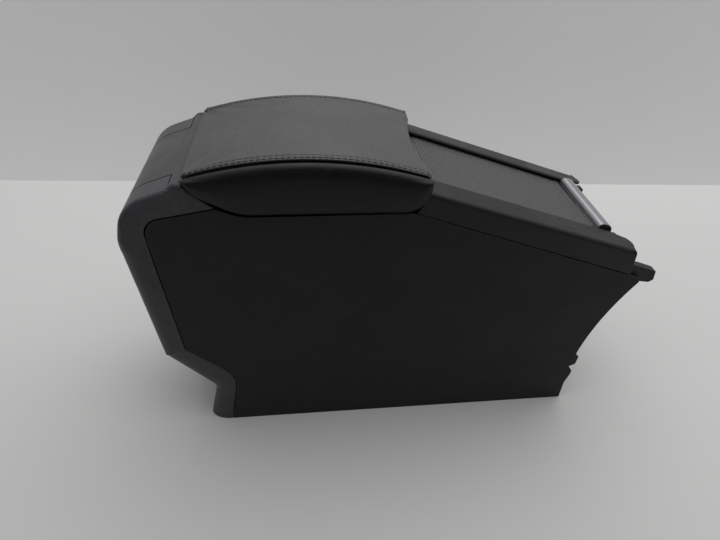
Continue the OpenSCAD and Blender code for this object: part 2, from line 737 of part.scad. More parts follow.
// The pad's foam: an arched block over the plate, with a nose that covers the carrier's front
module pad_profile(d, rear_x, rear_lip) {
  polygon(concat(
    arch_points(rear_x, pad_front_x - d, d),
    [[pad_front_x - d, liner_z + 8], [pad_front_x - 3, liner_z + 2], [front_x + seat_gap, liner_z + 2],
      [front_x + seat_gap, plate_z], [slot_x, plate_z]],
    rear_lip
  ));
}
edge_r = 3;
module pad_top() {
  color("#4b4b4e") difference() {
    union() {
      along_y(-pad_side, pad_side) pad_profile(edge_r, slot_x, []);
      along_y(-pad_side + edge_r, pad_side - edge_r)
        pad_profile(0, pad_rear_x, [[slot_x, roll_top + seat_gap], [pad_rear_x, roll_top + seat_gap]]);
    }
    translate([pad_front_x + scoop_r - scoop_in, 0, liner_z]) cylinder(r=scoop_r, h=60, $fn=360);
    block(front_x - 1, pad_front_x + 1, -pull_y, pull_y, liner_z, pull_top);
  }
}
wing_y = panel_y + wing_out;
module wing() {
  color("#161617") hull() {
    along_y(pad_side, pad_side + 0.5) polygon(wing_outline(0.8));
    along_y(pad_side + 5, wing_y - 3.5) polygon(wing_outline(0));
    along_y(wing_y - 0.8, wing_y) polygon(wing_outline(7));
  }
}
arm_top = plate_low;
arm_low = plate_low - 5;
arm_screw_x = arm_tip_x - 8;
arm_foot_w = 10;
arm_screw_y = [arm_y + hinge_t + arm_foot_w / 2, -arm_y - hinge_t - arm_foot_w / 2];
module hinge_arms() {
  color("#8c8f93") difference() {
    both_sides() {
      along_y(arm_y, arm_y + hinge_t) polygon([
        [hinge_x - eye_r + 0.4, hinge_z - 2], [hinge_x + 2, hinge_z - eye_r + 0.2],
        [slot_x, arm_low], [arm_tip_x, arm_low], [arm_tip_x, arm_top], [slot_x - 1, arm_top],
        [hinge_x + eye_r - 1.5, hinge_z + 2]
      ]);
      pin_y(hinge_x, hinge_z, arm_y, arm_y + hinge_t, eye_r);
      block(arm_tip_x - 16, arm_tip_x, arm_y + hinge_t - 0.01, arm_y + hinge_t + arm_foot_w,
        arm_top - 2, arm_top);
    }
    both_sides() pin_y(hinge_x, hinge_z, arm_y - 1, arm_y + hinge_t + 1, hinge_pin_r + pin_play);
    for (y = arm_screw_y) translate([arm_screw_x, y, arm_top - 3]) cylinder(r=screw_r + pin_play, h=4);
  }
}
module arm_screws() {
  color("#6f7276") for (y = arm_screw_y) translate([arm_screw_x, y, 0]) {
    translate([0, 0, arm_top - 2 - 1.8]) cylinder(r=screw_r * 1.7, h=1.8);
    translate([0, 0, arm_top - 2]) cylinder(r=screw_r, h=2 + plate_t - 0.3);
  }
}
stop_r = 4;
stop_y = (bin_y + rim_y) / 2;
module bump_stops() {
  color("#101010") for (x = [bin_rear_x + 14, bin_front_x - 16], y = [-stop_y, stop_y])
    translate([x, y, deck_z + seat_gap]) cylinder(r=stop_r, h=liner_z - deck_z - seat_gap);
}

// Latch: a finger paddle on a cross pin, with a hook that catches the striker on the bin
latch_x = pad_front_x - 24.5;
latch_z = deck_z + 8;
latch_pin_r = 1.5;
latch_ear_y = 19;
latch_half = 14.5;
pocket_y = latch_ear_y + hinge_t + 0.5;
latch_body_r = 3.2;
shank_x = bin_front_x - 11.5;
shank_t = 3.5;
hook_low = deck_z - 13.5;
hook_top = hook_low + 3.2;
barb = 3;
striker_z = hook_top + seat_gap;
striker_t = 3;
module latch_paddle() {
  color("#121212") difference() {
    union() {
      pin_y(latch_x, latch_z, -latch_half, latch_half, latch_body_r);
      along_y(-latch_half, latch_half) polygon([
        [latch_x, latch_z + latch_body_r - 0.1], [latch_x + 4, latch_z + 0.6],
        [latch_x + 11, deck_z + 4.6], [pad_front_x - 3.5, deck_z + 4.2],
        [pad_front_x - 3.5, deck_z + 1.8], [latch_x + 9, deck_z + 1.9],
        [latch_x, latch_z - latch_body_r + 0.1], [shank_x + shank_t, latch_z - 3.8],
        [shank_x + shank_t, hook_low], [shank_x - barb, hook_low + 0.6],
        [shank_x - barb, hook_top - 0.8], [shank_x, hook_top],
        [shank_x, latch_z + 1]
      ]);
    }
    pin_y(latch_x, latch_z, -latch_half - 1, latch_half + 1, latch_pin_r + pin_play);
  }
}
module latch_pin() {
  color("#a9acb0") pin_y(latch_x, latch_z, -latch_ear_y - hinge_t, latch_ear_y + hinge_t, latch_pin_r);
}
coil_r = 2.6;
wire_r = 0.45;
coil_turns = 4;
coil_y = latch_half + seat_gap;
coil_w = 2 * wire_r * coil_turns;
// Close-wound turns as one scalloped sleeve, with a leg up to the plate
module latch_spring() {
  color("#909296") {
    translate([latch_x, coil_y, latch_z]) rotate([-90, 0, 0]) rotate_extrude() polygon(concat(
      [[coil_r - wire_r, 0]],
      [for (k = [0:coil_turns - 1]) for (q = [[0, 0.1], [1, wire_r], [2, 0.1]])
        [coil_r + q[1], (2 * k + q[0]) * wire_r + (q[0] == 2 ? -0.02 : 0)]],
      [[coil_r - wire_r, coil_w]]
    ));
    translate([latch_x - coil_r, coil_y + coil_w - wire_r, latch_z])
      cylinder(r=wire_r, h=plate_low - latch_z - seat_gap, $fn=16);
  }
}
striker_y = latch_half + 2.5;
striker_x = shank_x - 1.5;
module latch_striker() {
  color("#8c8f93") {
    both_sides() block(striker_x - striker_t, bin_front_x - bin_t, striker_y, striker_y + striker_t,
      striker_z, striker_z + striker_t);
    block(striker_x - striker_t, striker_x, -striker_y - 0.01, striker_y + 0.01,
      striker_z, striker_z + striker_t);
  }
}

mirror([0, 1, 0]) side_panel();  // side_panel_right
side_panel();  // side_panel_left
rear_cover();
rear_panel();
shutter_frame();
inner_carrier();
storage_bin();
bin_mat();
cup_tray();
cup_mats();
mirror([0, 1, 0]) shutter_track();  // track_right
shutter_track();  // track_left
hinge_bracket();
hinge_pins();
bracket_screws();
latch_striker();
lid_carrier();
lid_liner();
pad_top();
mirror([0, 1, 0]) wing();  // wing_right
wing();  // wing_left
hinge_arms();
arm_screws();
bump_stops();
latch_pin();
latch_spring();
latch_paddle();
handle_bar();
handle_caps();
handle_shoes();
shutter_curtain();
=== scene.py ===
"""Car centre armrest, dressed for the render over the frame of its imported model.

The rigid pieces are merged copies of the frame's nodes with eased edges. The padded top, the wings, their
stitching, the ribbed shutter, the pull bar, the skin over the lid's rear roll and the cover's corners beside it are
modelled here.
"""
import logging
import math
from dataclasses import dataclass, field
from enum import Enum
from typing import Callable, Optional, Sequence, Union

import bmesh
import bpy
from mathutils import Matrix, Vector


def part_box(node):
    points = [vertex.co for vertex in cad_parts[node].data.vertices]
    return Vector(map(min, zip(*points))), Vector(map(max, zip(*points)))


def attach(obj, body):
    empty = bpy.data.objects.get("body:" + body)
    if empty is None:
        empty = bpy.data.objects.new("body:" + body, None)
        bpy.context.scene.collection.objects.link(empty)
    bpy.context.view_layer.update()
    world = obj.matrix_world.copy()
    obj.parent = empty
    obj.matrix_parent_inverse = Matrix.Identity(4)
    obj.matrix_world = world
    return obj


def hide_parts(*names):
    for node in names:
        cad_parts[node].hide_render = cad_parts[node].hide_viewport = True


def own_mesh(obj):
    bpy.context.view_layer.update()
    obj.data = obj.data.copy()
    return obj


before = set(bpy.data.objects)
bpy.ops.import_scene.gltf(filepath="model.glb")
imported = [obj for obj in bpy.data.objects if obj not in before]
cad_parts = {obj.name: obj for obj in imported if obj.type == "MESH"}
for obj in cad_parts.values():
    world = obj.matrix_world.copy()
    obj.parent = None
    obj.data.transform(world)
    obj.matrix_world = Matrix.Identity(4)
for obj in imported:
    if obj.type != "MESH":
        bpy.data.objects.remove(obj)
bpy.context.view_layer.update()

MM = 0.001
SLOPE = 19.1
CREASE_Z = 307.9
SHARP_ANGLE = 38.0
SHADE_ANGLE = 35.0
Value = Union[float, Sequence[float], bpy.types.NodeSocket]
Triple = tuple[float, float, float]
Colour = Triple
Pair = tuple[float, float]
logging.basicConfig(level=logging.INFO, format="%(levelname)s %(message)s")
log = logging.getLogger("armrest")


class Body(Enum):
    """The moving bodies of the frame."""

    CONSOLE = "console"
    LID = "lid"
    LATCH = "latch"
    SHUTTER = "shutter"


class Element(Enum):
    """What a pick in edit mode selects."""

    VERTS = "VERT"
    EDGES = "EDGE"
    FACES = "FACE"


# ---- working on a mesh as by hand


def deselect() -> None:
    """Leaves edit mode and selects nothing."""
    if bpy.context.object and bpy.context.object.mode != "OBJECT":
        bpy.ops.object.mode_set(mode="OBJECT")
    bpy.ops.object.select_all(action="DESELECT")


def activate(piece: bpy.types.Object) -> None:
    """Selects one piece alone and makes it active.

    Args:
        piece: the piece to work on.
    """
    deselect()
    piece.select_set(True)
    bpy.context.view_layer.objects.active = piece


def edit(piece: bpy.types.Object) -> None:
    """Opens edit mode on one piece.

    Args:
        piece: the piece to work on.
    """
    activate(piece)
    bpy.ops.object.mode_set(mode="EDIT")


def pick(piece: bpy.types.Object, element: Element, test: Callable[[object], bool]) -> int:
    """Selects elements in edit mode by a test.

    Args:
        piece: the piece in edit mode.
        element: which kind of element is selected.
        test: says of an element whether it is selected.

    Returns:
        How many elements are selected.
    """
    bpy.ops.mesh.select_mode(type=element.value)
    bpy.ops.mesh.select_all(action="DESELECT")
    shape = bmesh.from_edit_mesh(piece.data)
    among = {Element.VERTS: shape.verts, Element.EDGES: shape.edges, Element.FACES: shape.faces}[element]
    found = [each for each in among if test(each)]
    for each in found:
        each.select_set(True)
    shape.select_flush_mode()
    bmesh.update_edit_mesh(piece.data)
    return len(found)


def select_all() -> None:
    """Selects the whole mesh in edit mode."""
    bpy.ops.mesh.select_mode(type="VERT")
    bpy.ops.mesh.select_all(action="SELECT")


def face_outwards(piece: bpy.types.Object) -> None:
    """Merges doubles and turns every face outwards.

    Args:
        piece: a closed piece.
    """
    edit(piece)
    select_all()
    bpy.ops.mesh.remove_doubles(threshold=0.01 * MM)
    bpy.ops.mesh.normals_make_consistent(inside=False)
    deselect()


def flip_faces(piece: bpy.types.Object) -> None:
    """Turns every face of a piece over.

    Args:
        piece: the piece.
    """
    edit(piece)
    select_all()
    bpy.ops.mesh.flip_normals()
    deselect()


def apply_modifier(piece: bpy.types.Object, kind: str, **settings: object) -> None:
    """Adds a modifier and applies it.

    Args:
        piece: the piece.
        kind: the modifier's type.
        **settings: its settings.
    """
    activate(piece)
    modifier = piece.modifiers.new(kind.lower(), kind)
    for name, value in settings.items():
        setattr(modifier, name, value)
    bpy.ops.object.modifier_apply(modifier=modifier.name)


def smooth(piece: bpy.types.Object, degrees: float = SHADE_ANGLE, weighted: bool = True) -> None:
    """Shades a piece smooth up to an angle, its large faces kept flat.

    Args:
        piece: the piece.
        degrees: edges sharper than this stay sharp.
        weighted: whether normals follow the larger faces.
    """
    activate(piece)
    bpy.ops.object.shade_smooth_by_angle(angle=math.radians(degrees))
    if weighted:
        apply_modifier(piece, "WEIGHTED_NORMAL", mode="FACE_AREA", weight=50, keep_sharp=True)


def smooth_all(piece: bpy.types.Object) -> None:
    """Shades a piece smooth all over."""
    activate(piece)
    bpy.ops.object.shade_smooth()


def rounded(corners: Sequence[tuple[float, ...]], steps: int = 8, closed: bool = True) -> list[Pair]:
    """An outline of corners, each (across, up, radius), with its corners rounded.

    Args:
        corners: the corners in order; one with no radius stays sharp.
        steps: how many steps a rounding has.
        closed: whether the last corner meets the first.

    Returns:
        The outline's points.
    """
    points: list[Pair] = []
    for i, corner in enumerate(corners):
        here = Vector(corner[:2])
        at_end = not closed and i in (0, len(corners) - 1)
        if len(corner) < 3 or at_end:
            points.append((here.x, here.y))
            continue
        before = (Vector(corners[i - 1][:2]) - here).normalized()
        after = (Vector(corners[(i + 1) % len(corners)][:2]) - here).normalized()
        half = before.angle(after) / 2
        centre = here + (before + after).normalized() * corner[2] / math.sin(half)
        start = here + before * corner[2] / math.tan(half) - centre
        end = here + after * corner[2] / math.tan(half) - centre
        first = math.atan2(start.y, start.x)
        sweep = (math.atan2(end.y, end.x) - first + math.pi) % (2 * math.pi) - math.pi
        for k in range(steps + 1):
            turn = first + sweep * k / steps
            points.append((centre.x + corner[2] * math.cos(turn), centre.y + corner[2] * math.sin(turn)))
    return points


def outline_bar(name: str, outline: Sequence[Vector], along: Vector) -> bpy.types.Object:
    """A filled outline extruded along a direction.

    Args:
        name: the piece's name.
        outline: its points in space.
        along: how far and which way it is extruded.

    Returns:
        The piece, facing outwards.
    """
    deselect()
    bpy.ops.mesh.primitive_circle_add(vertices=len(outline), radius=1.0, fill_type="NGON")
    piece = bpy.context.object
    piece.name = name
    for vertex, place in zip(piece.data.vertices, outline):
        vertex.co = place
    edit(piece)
    select_all()
    bpy.ops.mesh.extrude_region_move(TRANSFORM_OT_translate={"value": along})
    face_outwards(piece)
    return piece


def laid_grid(name: str, rows: int, columns: int, lay: Callable[[int, int], Vector]) -> bpy.types.Object:
    """A grid primitive with its points laid on a form.

    Args:
        name: the piece's name.
        rows: cells one way.
        columns: cells the other way.
        lay: gives the place of the point at a row and a column.

    Returns:
        The piece.
    """
    deselect()
    bpy.ops.mesh.primitive_grid_add(x_subdivisions=rows, y_subdivisions=columns, size=2.0)
    piece = bpy.context.object
    piece.name = name
    for vertex in piece.data.vertices:
        row = round((vertex.co.x + 1) / 2 * rows)
        column = round((vertex.co.y + 1) / 2 * columns)
        vertex.co = lay(row, column)
    return piece


def join(name: str, pieces: Sequence[bpy.types.Object]) -> bpy.types.Object:
    """Joins pieces into one.

    Args:
        name: the joined piece's name.
        pieces: the pieces.

    Returns:
        The joined piece.
    """
    deselect()
    for piece in pieces:
        piece.select_set(True)
    bpy.context.view_layer.objects.active = pieces[0]
    if len(pieces) > 1:
        bpy.ops.object.join()
    pieces[0].name = name
    return pieces[0]


def merged_copy(node: str) -> bpy.types.Object:
    """A copy of a frame node with its doubles merged and its flat faces made whole.

    Args:
        node: the node's name.

    Returns:
        The new piece.
    """
    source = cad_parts[node]
    piece = bpy.data.objects.new(node + "_eased", source.data.copy())
    piece.data.name = piece.name
    bpy.context.scene.collection.objects.link(piece)
    piece.data.materials.clear()
    activate(piece)
    if piece.data.has_custom_normals:
        bpy.ops.mesh.customdata_custom_splitnormals_clear()
    edit(piece)
    select_all()
    bpy.ops.mesh.remove_doubles(threshold=0.02 * MM)
    bpy.ops.mesh.mark_sharp(clear=True)
    bpy.ops.mesh.dissolve_limited(angle_limit=math.radians(0.4))
    deselect()
    return piece


def weigh_edges(piece: bpy.types.Object, weight: Callable[[bmesh.types.BMEdge], float]) -> None:
    """Writes how strongly each edge of a piece is rounded.

    Args:
        piece: the piece.
        weight: gives an edge's share of the rounding's width.
    """
    shape = bmesh.new()
    shape.from_mesh(piece.data)
    layer = shape.edges.layers.float.new("bevel_weight_edge")
    for each in shape.edges:
        each[layer] = weight(each)
    shape.to_mesh(piece.data)
    shape.free()


def ease_edges(piece: bpy.types.Object, width: float, segments: int = 3, angle: float = SHARP_ANGLE,
               weighed: bool = False) -> None:
    """Rounds the edges of a piece and marks the new faces in the attribute that the edge wear and its painted edge
    highlight read.

    Args:
        piece: the piece.
        width: the rounding's width, in millimetres.
        segments: its steps.
        angle: edges blunter than this, in degrees, stay as they are.
        weighed: whether the edges' weights say what is rounded, and not the angle.
    """
    blanks = [bpy.data.materials.new("blank"), bpy.data.materials.new("blank")]
    for blank in blanks:
        piece.data.materials.append(blank)
    apply_modifier(piece, "BEVEL", width=width * MM, segments=segments, profile=0.5,
                   limit_method="WEIGHT" if weighed else "ANGLE", angle_limit=math.radians(angle),
                   use_clamp_overlap=False, material=1, miter_outer="MITER_ARC")
    marks = piece.data.attributes.new("edge", "FLOAT", "FACE")
    marks.data.foreach_set("value", [float(face.material_index == 1) for face in piece.data.polygons])
    for face in piece.data.polygons:
        face.material_index = 0
    piece.data.materials.clear()
    for blank in blanks:
        bpy.data.materials.remove(blank)


# ---- finishes


class Tree:
    """A node tree under construction."""

    def __init__(self, tree: bpy.types.NodeTree) -> None:
        """Takes the tree to build in.

        Args:
            tree: a material's or a group's node tree.
        """
        self.tree = tree

    def put(self, socket: bpy.types.NodeSocket, value: Value) -> None:
        """Links a socket or sets its value.

        Args:
            socket: the input.
            value: another socket, a number or a colour.
        """
        if isinstance(value, bpy.types.NodeSocket):
            self.tree.links.new(value, socket)
        else:
            socket.default_value = value

    def add(self, kind: str, inputs: Optional[dict] = None, **settings: object) -> bpy.types.Node:
        """Adds a node.

        Args:
            kind: the node's type.
            inputs: values or links for its inputs, by name or number.
            **settings: its settings.

        Returns:
            The node.
        """
        made = self.tree.nodes.new(kind)
        for name, value in settings.items():
            setattr(made, name, value)
        for name, value in (inputs or {}).items():
            self.put(made.inputs[name], value)
        return made

    def math(self, operation: str, first: Value, second: Value = 0.0, clamp: bool = False) -> bpy.types.NodeSocket:
        """A math node's result.

        Args:
            operation: what it does.
            first: its first value.
            second: its second value.
            clamp: whether the result stays within 0 and 1.

        Returns:
            The output.
        """
        return self.add("ShaderNodeMath", {0: first, 1: second}, operation=operation, use_clamp=clamp).outputs[0]

    def range(self, value: Value, low: float, high: float, to_low: float = 0.0, to_high: float = 1.0
              ) -> bpy.types.NodeSocket:
        """Carries a value from one range to another, smoothly.

        Args:
            value: the value.
            low: start of its range.
            high: end of its range.
            to_low: start of the new range.
            to_high: end of the new range.

        Returns:
            The output.
        """
        return self.add("ShaderNodeMapRange", {0: value, 1: low, 2: high, 3: to_low, 4: to_high},
                        interpolation_type="SMOOTHSTEP").outputs[0]

    def mix(self, share: Value, first: Value, second: Value) -> bpy.types.NodeSocket:
        """Mixes two colours.

        Args:
            share: the share of the second.
            first: the first colour.
            second: the second colour.

        Returns:
            The output.
        """
        return self.add("ShaderNodeMix", {0: share, 6: first, 7: second}, data_type="RGBA").outputs[2]

    def shade(self, colour: Colour, brightness: Value) -> bpy.types.NodeSocket:
        """A colour made brighter or darker.

        Args:
            colour: the colour.
            brightness: what it is multiplied by.

        Returns:
            The output.
        """
        return self.add("ShaderNodeVectorMath", {0: colour, 3: brightness}, operation="SCALE").outputs[0]

    def noise(self, coords: Value, scale: Value, detail: float = 2.0, roughness: float = 0.5,
              distortion: float = 0.0) -> bpy.types.NodeSocket:
        """A noise pattern's value.

        Args:
            coords: where it is read.
            scale: how fine it is, in patches a metre.
            detail: its octaves.
            roughness: how strong the finer octaves are.
            distortion: how far it is twisted.

        Returns:
            The output.
        """
        return self.add("ShaderNodeTexNoise", {"Vector": coords, "Scale": scale, "Detail": detail,
                                               "Roughness": roughness, "Distortion": distortion}).outputs[0]


def make_group(name: str, inputs: dict[str, float], outputs: Sequence[str]) -> tuple[bpy.types.NodeTree, Tree, dict]:
    """Starts a shared shader group that has a Vector input.

    Args:
        name: the group's name.
        inputs: its number inputs with their usual values.
        outputs: its number outputs.

    Returns:
        The group, a builder for it, and its inputs by name.
    """
    group = bpy.data.node_groups.new(name, "ShaderNodeTree")
    group.interface.new_socket("Vector", in_out="INPUT", socket_type="NodeSocketVector")
    for label, value in inputs.items():
        group.interface.new_socket(label, in_out="INPUT", socket_type="NodeSocketFloat").default_value = value
    for label in outputs:
        group.interface.new_socket(label, in_out="OUTPUT", socket_type="NodeSocketFloat")
    tree = Tree(group)
    start = group.nodes.new("NodeGroupInput")
    return group, tree, {socket.name: socket for socket in start.outputs if socket.name}


class Effects:
    """The shared shader groups: mould grain, hide grain, handling marks, and edge wear with a painted edge highlight.
    """

    def __init__(self) -> None:
        """Builds the groups once."""
        self.mould_grain = self._mould_grain()
        self.hide_grain = self._hide_grain()
        self.handling = self._handling()
        self.edge_wear_and_highlight = self._edge_wear_and_highlight()

    @staticmethod
    def _finish(group: bpy.types.NodeTree, outputs: Sequence[Value]) -> bpy.types.NodeTree:
        """Links a group's outputs.

        Args:
            group: the group.
            outputs: what its outputs give, in order.

        Returns:
            The group.
        """
        end = group.nodes.new("NodeGroupOutput")
        for socket, value in zip(end.inputs, outputs):
            group.links.new(value, socket)
        return group

    def _mould_grain(self) -> bpy.types.NodeTree:
        """Fine pebbled grain of moulded plastic.

        Returns:
            The group: Height, and a Fleck mask.
        """
        group, tree, at = make_group("mould_grain", {"Scale": 900.0}, ["Height", "Fleck"])
        cells = tree.add("ShaderNodeTexVoronoi", {"Vector": at["Vector"], "Scale": at["Scale"]},
                         feature="SMOOTH_F1").outputs["Distance"]
        speckle = tree.noise(at["Vector"], tree.math("MULTIPLY", at["Scale"], 2.3), 2.0, 0.6)
        pebble = tree.math("SUBTRACT", 1.0, cells, clamp=True)
        height = tree.math("ADD", tree.math("MULTIPLY", pebble, 0.65), tree.math("MULTIPLY", speckle, 0.35))
        patches = tree.noise(at["Vector"], tree.math("MULTIPLY", at["Scale"], 0.22), 3.0, 0.65)
        return self._finish(group, [height, tree.range(patches, 0.3, 0.7)])

    def _hide_grain(self) -> bpy.types.NodeTree:
        """Grain of leather: small cells with dark creases between them.

        Returns:
            The group: Height, and a Crease mask.
        """
        group, tree, at = make_group("hide_grain", {"Cells": 620.0, "Folds": 34.0}, ["Height", "Crease"])
        bend = tree.noise(at["Vector"], tree.math("MULTIPLY", at["Cells"], 0.35), 2.0)
        nudge = tree.shade((0.0007, 0.0007, 0.0007), bend)
        shift = tree.add("ShaderNodeVectorMath", {0: at["Vector"], 1: nudge}, operation="ADD").outputs[0]
        edges = tree.add("ShaderNodeTexVoronoi", {"Vector": shift, "Scale": at["Cells"]},
                         feature="DISTANCE_TO_EDGE").outputs["Distance"]
        cell = tree.range(edges, 0.02, 0.28)
        folds = tree.noise(at["Vector"], at["Folds"], 4.0, 0.55, 0.6)
        height = tree.math("ADD", tree.math("MULTIPLY", cell, 0.7), tree.math("MULTIPLY", folds, 0.5))
        return self._finish(group, [height, tree.math("SUBTRACT", 1.0, cell)])

    def _handling(self) -> bpy.types.NodeTree:
        """Marks of handling: soft smudges, and fine dust and rubbed streaks.

        Returns:
            The group: Smudge and Dust masks.
        """
        group, tree, at = make_group("handling", {"Scale": 16.0}, ["Smudge", "Dust"])
        smudge = tree.range(tree.noise(at["Vector"], at["Scale"], 4.0, 0.6, 1.2), 0.42, 0.68)
        stretched = tree.add("ShaderNodeMapping", {"Vector": at["Vector"], "Scale": (0.6, 1.0, 2.6)}).outputs[0]
        streak = tree.noise(stretched, tree.math("MULTIPLY", at["Scale"], 7.0), 3.0, 0.7)
        specks = tree.noise(at["Vector"], tree.math("MULTIPLY", at["Scale"], 55.0), 1.0)
        dust = tree.math("ADD", tree.range(streak, 0.52, 0.75, 0.0, 0.6), tree.range(specks, 0.66, 0.74, 0.0, 0.6),
                         clamp=True)
        return self._finish(group, [smudge, dust])

    def _edge_wear_and_highlight(self) -> bpy.types.NodeTree:
        """Rubbed edges made lighter, partly wear and partly a painted highlight along them, where the attribute says
        edge.

        Returns:
            The group: a mask of rubbed wear and painted edge highlight.
        """
        group, tree, at = make_group("edge_wear_and_highlight", {"Scale": 60.0}, ["Wear"])
        marked = tree.add("ShaderNodeAttribute", attribute_name="edge").outputs["Fac"]
        broken = tree.range(tree.noise(at["Vector"], at["Scale"], 4.0, 0.7), 0.4, 0.62, 0.25, 1.0)
        return self._finish(group, [tree.math("MULTIPLY", marked, broken)])


class Dressing(Tree):
    """A material under construction, with its shader, its coordinates and its shared groups."""

    def __init__(self, name: str, effects: Effects) -> None:
        """Starts a material.

        Args:
            name: its name.
            effects: the shared groups.
        """
        self.material = bpy.data.materials.new(name)
        self.material.use_nodes = True
        super().__init__(self.material.node_tree)
        self.effects = effects
        self.shader = self.tree.nodes["Principled BSDF"]
        self.coords = self.add("ShaderNodeTexCoord").outputs["Object"]

    def effect(self, group: bpy.types.NodeTree, **values: float) -> bpy.types.NodeSocket:
        """Places a shared group.

        Args:
            group: the group.
            **values: its inputs.

        Returns:
            Its outputs.
        """
        node = self.add("ShaderNodeGroup", node_tree=group)
        self.put(node.inputs["Vector"], self.coords)
        for name, value in values.items():
            self.put(node.inputs[name], value)
        return node.outputs

    def bump(self, height: Value, depth: float, strength: float = 1.0) -> None:
        """Gives the shader a bump.

        Args:
            height: the pattern.
            depth: its depth, in millimetres.
            strength: how much of it shows.
        """
        bump = self.add("ShaderNodeBump", {"Height": height, "Distance": depth * MM, "Strength": strength})
        self.put(self.shader.inputs["Normal"], bump.outputs[0])

    def fixed(self, **values: float) -> None:
        """Sets constants on the shader's own sockets.

        Args:
            **values: the sockets, with _ for a space.
        """
        for name, value in values.items():
            self.shader.inputs[name.replace("_", " ")].default_value = value

    def show_only(self, share: Value) -> None:
        """Shows the surface in part and leaves the rest clear.

        Args:
            share: how much of it shows.
        """
        clear = self.add("ShaderNodeBsdfTransparent").outputs[0]
        mixed = self.add("ShaderNodeMixShader", {0: share, 1: clear, 2: self.shader.outputs[0]})
        self.put(self.tree.nodes["Material Output"].inputs["Surface"], mixed.outputs[0])


def lighter(colour: Colour, amount: float) -> tuple[float, ...]:
    """A colour made lighter by an amount, with its alpha."""
    return tuple(min(1.0, part + amount) for part in colour) + (1.0,)


@dataclass(frozen=True)
class Plastic:
    """Moulded plastic: grained, a little dusty, its edges lighter from rubbed wear and a painted highlight."""

    name: str
    colour: Colour
    roughness: float = 0.55
    specular: float = 0.3
    grain: float = 0.05
    grain_scale: float = 900.0
    smudge: float = 0.12
    dust: float = 0.012
    # How much lighter the eased edges are: rubbed wear and a painted edge highlight.
    worn_and_highlight: float = 0.03
    soiled: float = 0.16
    dust_cover: float = 0.8
    fleck: Pair = (0.95, 1.15)

    def build(self, effects: Effects) -> bpy.types.Material:
        """Makes the material.

        Args:
            effects: the shared groups.

        Returns:
            The material.
        """
        dress = Dressing(self.name, effects)
        grain = dress.effect(effects.mould_grain, Scale=self.grain_scale)
        marks = dress.effect(effects.handling)
        worn_and_highlight = dress.effect(effects.edge_wear_and_highlight)["Wear"]
        tone = dress.math("SUBTRACT", dress.range(grain["Fleck"], 0.0, 1.0, *self.fleck),
                          dress.math("MULTIPLY", marks["Smudge"], self.soiled))
        base = dress.shade(self.colour, tone)
        dusty = lighter(self.colour, self.dust)
        base = dress.mix(dress.math("MULTIPLY", marks["Dust"], self.dust_cover), base, dusty)
        # The eased edges are made lighter: rubbed wear, and a painted highlight standing in for the light that catches
        # them.
        base = dress.mix(worn_and_highlight, base, lighter(self.colour, self.worn_and_highlight))
        dress.put(dress.shader.inputs["Base Color"], base)
        rough = dress.math("ADD", self.roughness, dress.math("MULTIPLY", marks["Smudge"], -self.smudge))
        rough = dress.math("ADD", rough, dress.math("MULTIPLY", grain["Fleck"], 0.05), clamp=True)
        dress.put(dress.shader.inputs["Roughness"], rough)
        dress.fixed(Specular_IOR_Level=self.specular)
        dress.bump(grain["Height"], self.grain)
        return dress.material


@dataclass(frozen=True)
class Leather:
    """Satin leather over foam: small cells, long soft folds, creases a little darker."""

    name: str
    colour: Colour
    roughness: float = 0.45
    specular: float = 0.35
    grain: float = 0.09
    cells: float = 620.0
    folds: float = 34.0
    scuff: float = 0.02
    crease: float = 0.25
    dust_cover: float = 0.5

    def build(self, effects: Effects) -> bpy.types.Material:
        """Makes the material.

        Args:
            effects: the shared groups.

        Returns:
            The material.
        """
        dress = Dressing(self.name, effects)
        grain = dress.effect(effects.hide_grain, Cells=self.cells, Folds=self.folds)
        marks = dress.effect(effects.handling, Scale=11.0)
        tone = dress.math("SUBTRACT", 1.0, dress.math("MULTIPLY", grain["Crease"], self.crease))
        mottled = dress.range(dress.noise(dress.coords, 9.0, 5.0, 0.6), 0.3, 0.7, 0.94, 1.06)
        base = dress.shade(self.colour, dress.math("MULTIPLY", tone, mottled))
        base = dress.mix(dress.math("MULTIPLY", marks["Dust"], self.dust_cover), base, lighter(self.colour, self.scuff))
        dress.put(dress.shader.inputs["Base Color"], base)
        rough = dress.math("ADD", self.roughness, dress.math("MULTIPLY", grain["Crease"], 0.12))
        rough = dress.math("SUBTRACT", rough, dress.math("MULTIPLY", marks["Smudge"], 0.07), clamp=True)
        dress.put(dress.shader.inputs["Roughness"], rough)
        dress.fixed(Specular_IOR_Level=self.specular)
        dress.bump(grain["Height"], self.grain)
        return dress.material


@dataclass(frozen=True)
class Metal:
    """Metal with a fine brushing along Y, or a plain zinc bloom."""

    name: str
    colour: Colour
    roughness: float = 0.35
    metallic: float = 1.0
    brushed: float = 1.0
    bloom: float = 0.08

    def build(self, effects: Effects) -> bpy.types.Material:
        """Makes the material.

        Args:
            effects: the shared groups.

        Returns:
            The material.
        """
        dress = Dressing(self.name, effects)
        marks = dress.effect(effects.handling, Scale=22.0)
        lines = dress.add("ShaderNodeMapping", {"Vector": dress.coords, "Scale": (2600.0, 60.0, 2600.0)}).outputs[0]
        brushing = dress.noise(lines, 1.0, 2.0, 0.6)
        tone = dress.range(brushing, 0.2, 0.8, 1.0 - 0.06 * self.brushed, 1.0 + 0.04 * self.brushed)
        base = dress.shade(self.colour, tone)
        bloom = tuple(part * 0.8 for part in self.colour) + (1.0,)
        dress.put(dress.shader.inputs["Base Color"], dress.mix(dress.math("MULTIPLY", marks["Smudge"], self.bloom * 4),
                                                               base, bloom))
        rough = dress.math("ADD", self.roughness, dress.math("MULTIPLY", marks["Smudge"], self.bloom))
        dress.put(dress.shader.inputs["Roughness"], rough)
        dress.fixed(Metallic=self.metallic)
        dress.bump(brushing, 0.004 * self.brushed + 0.001)
        return dress.material


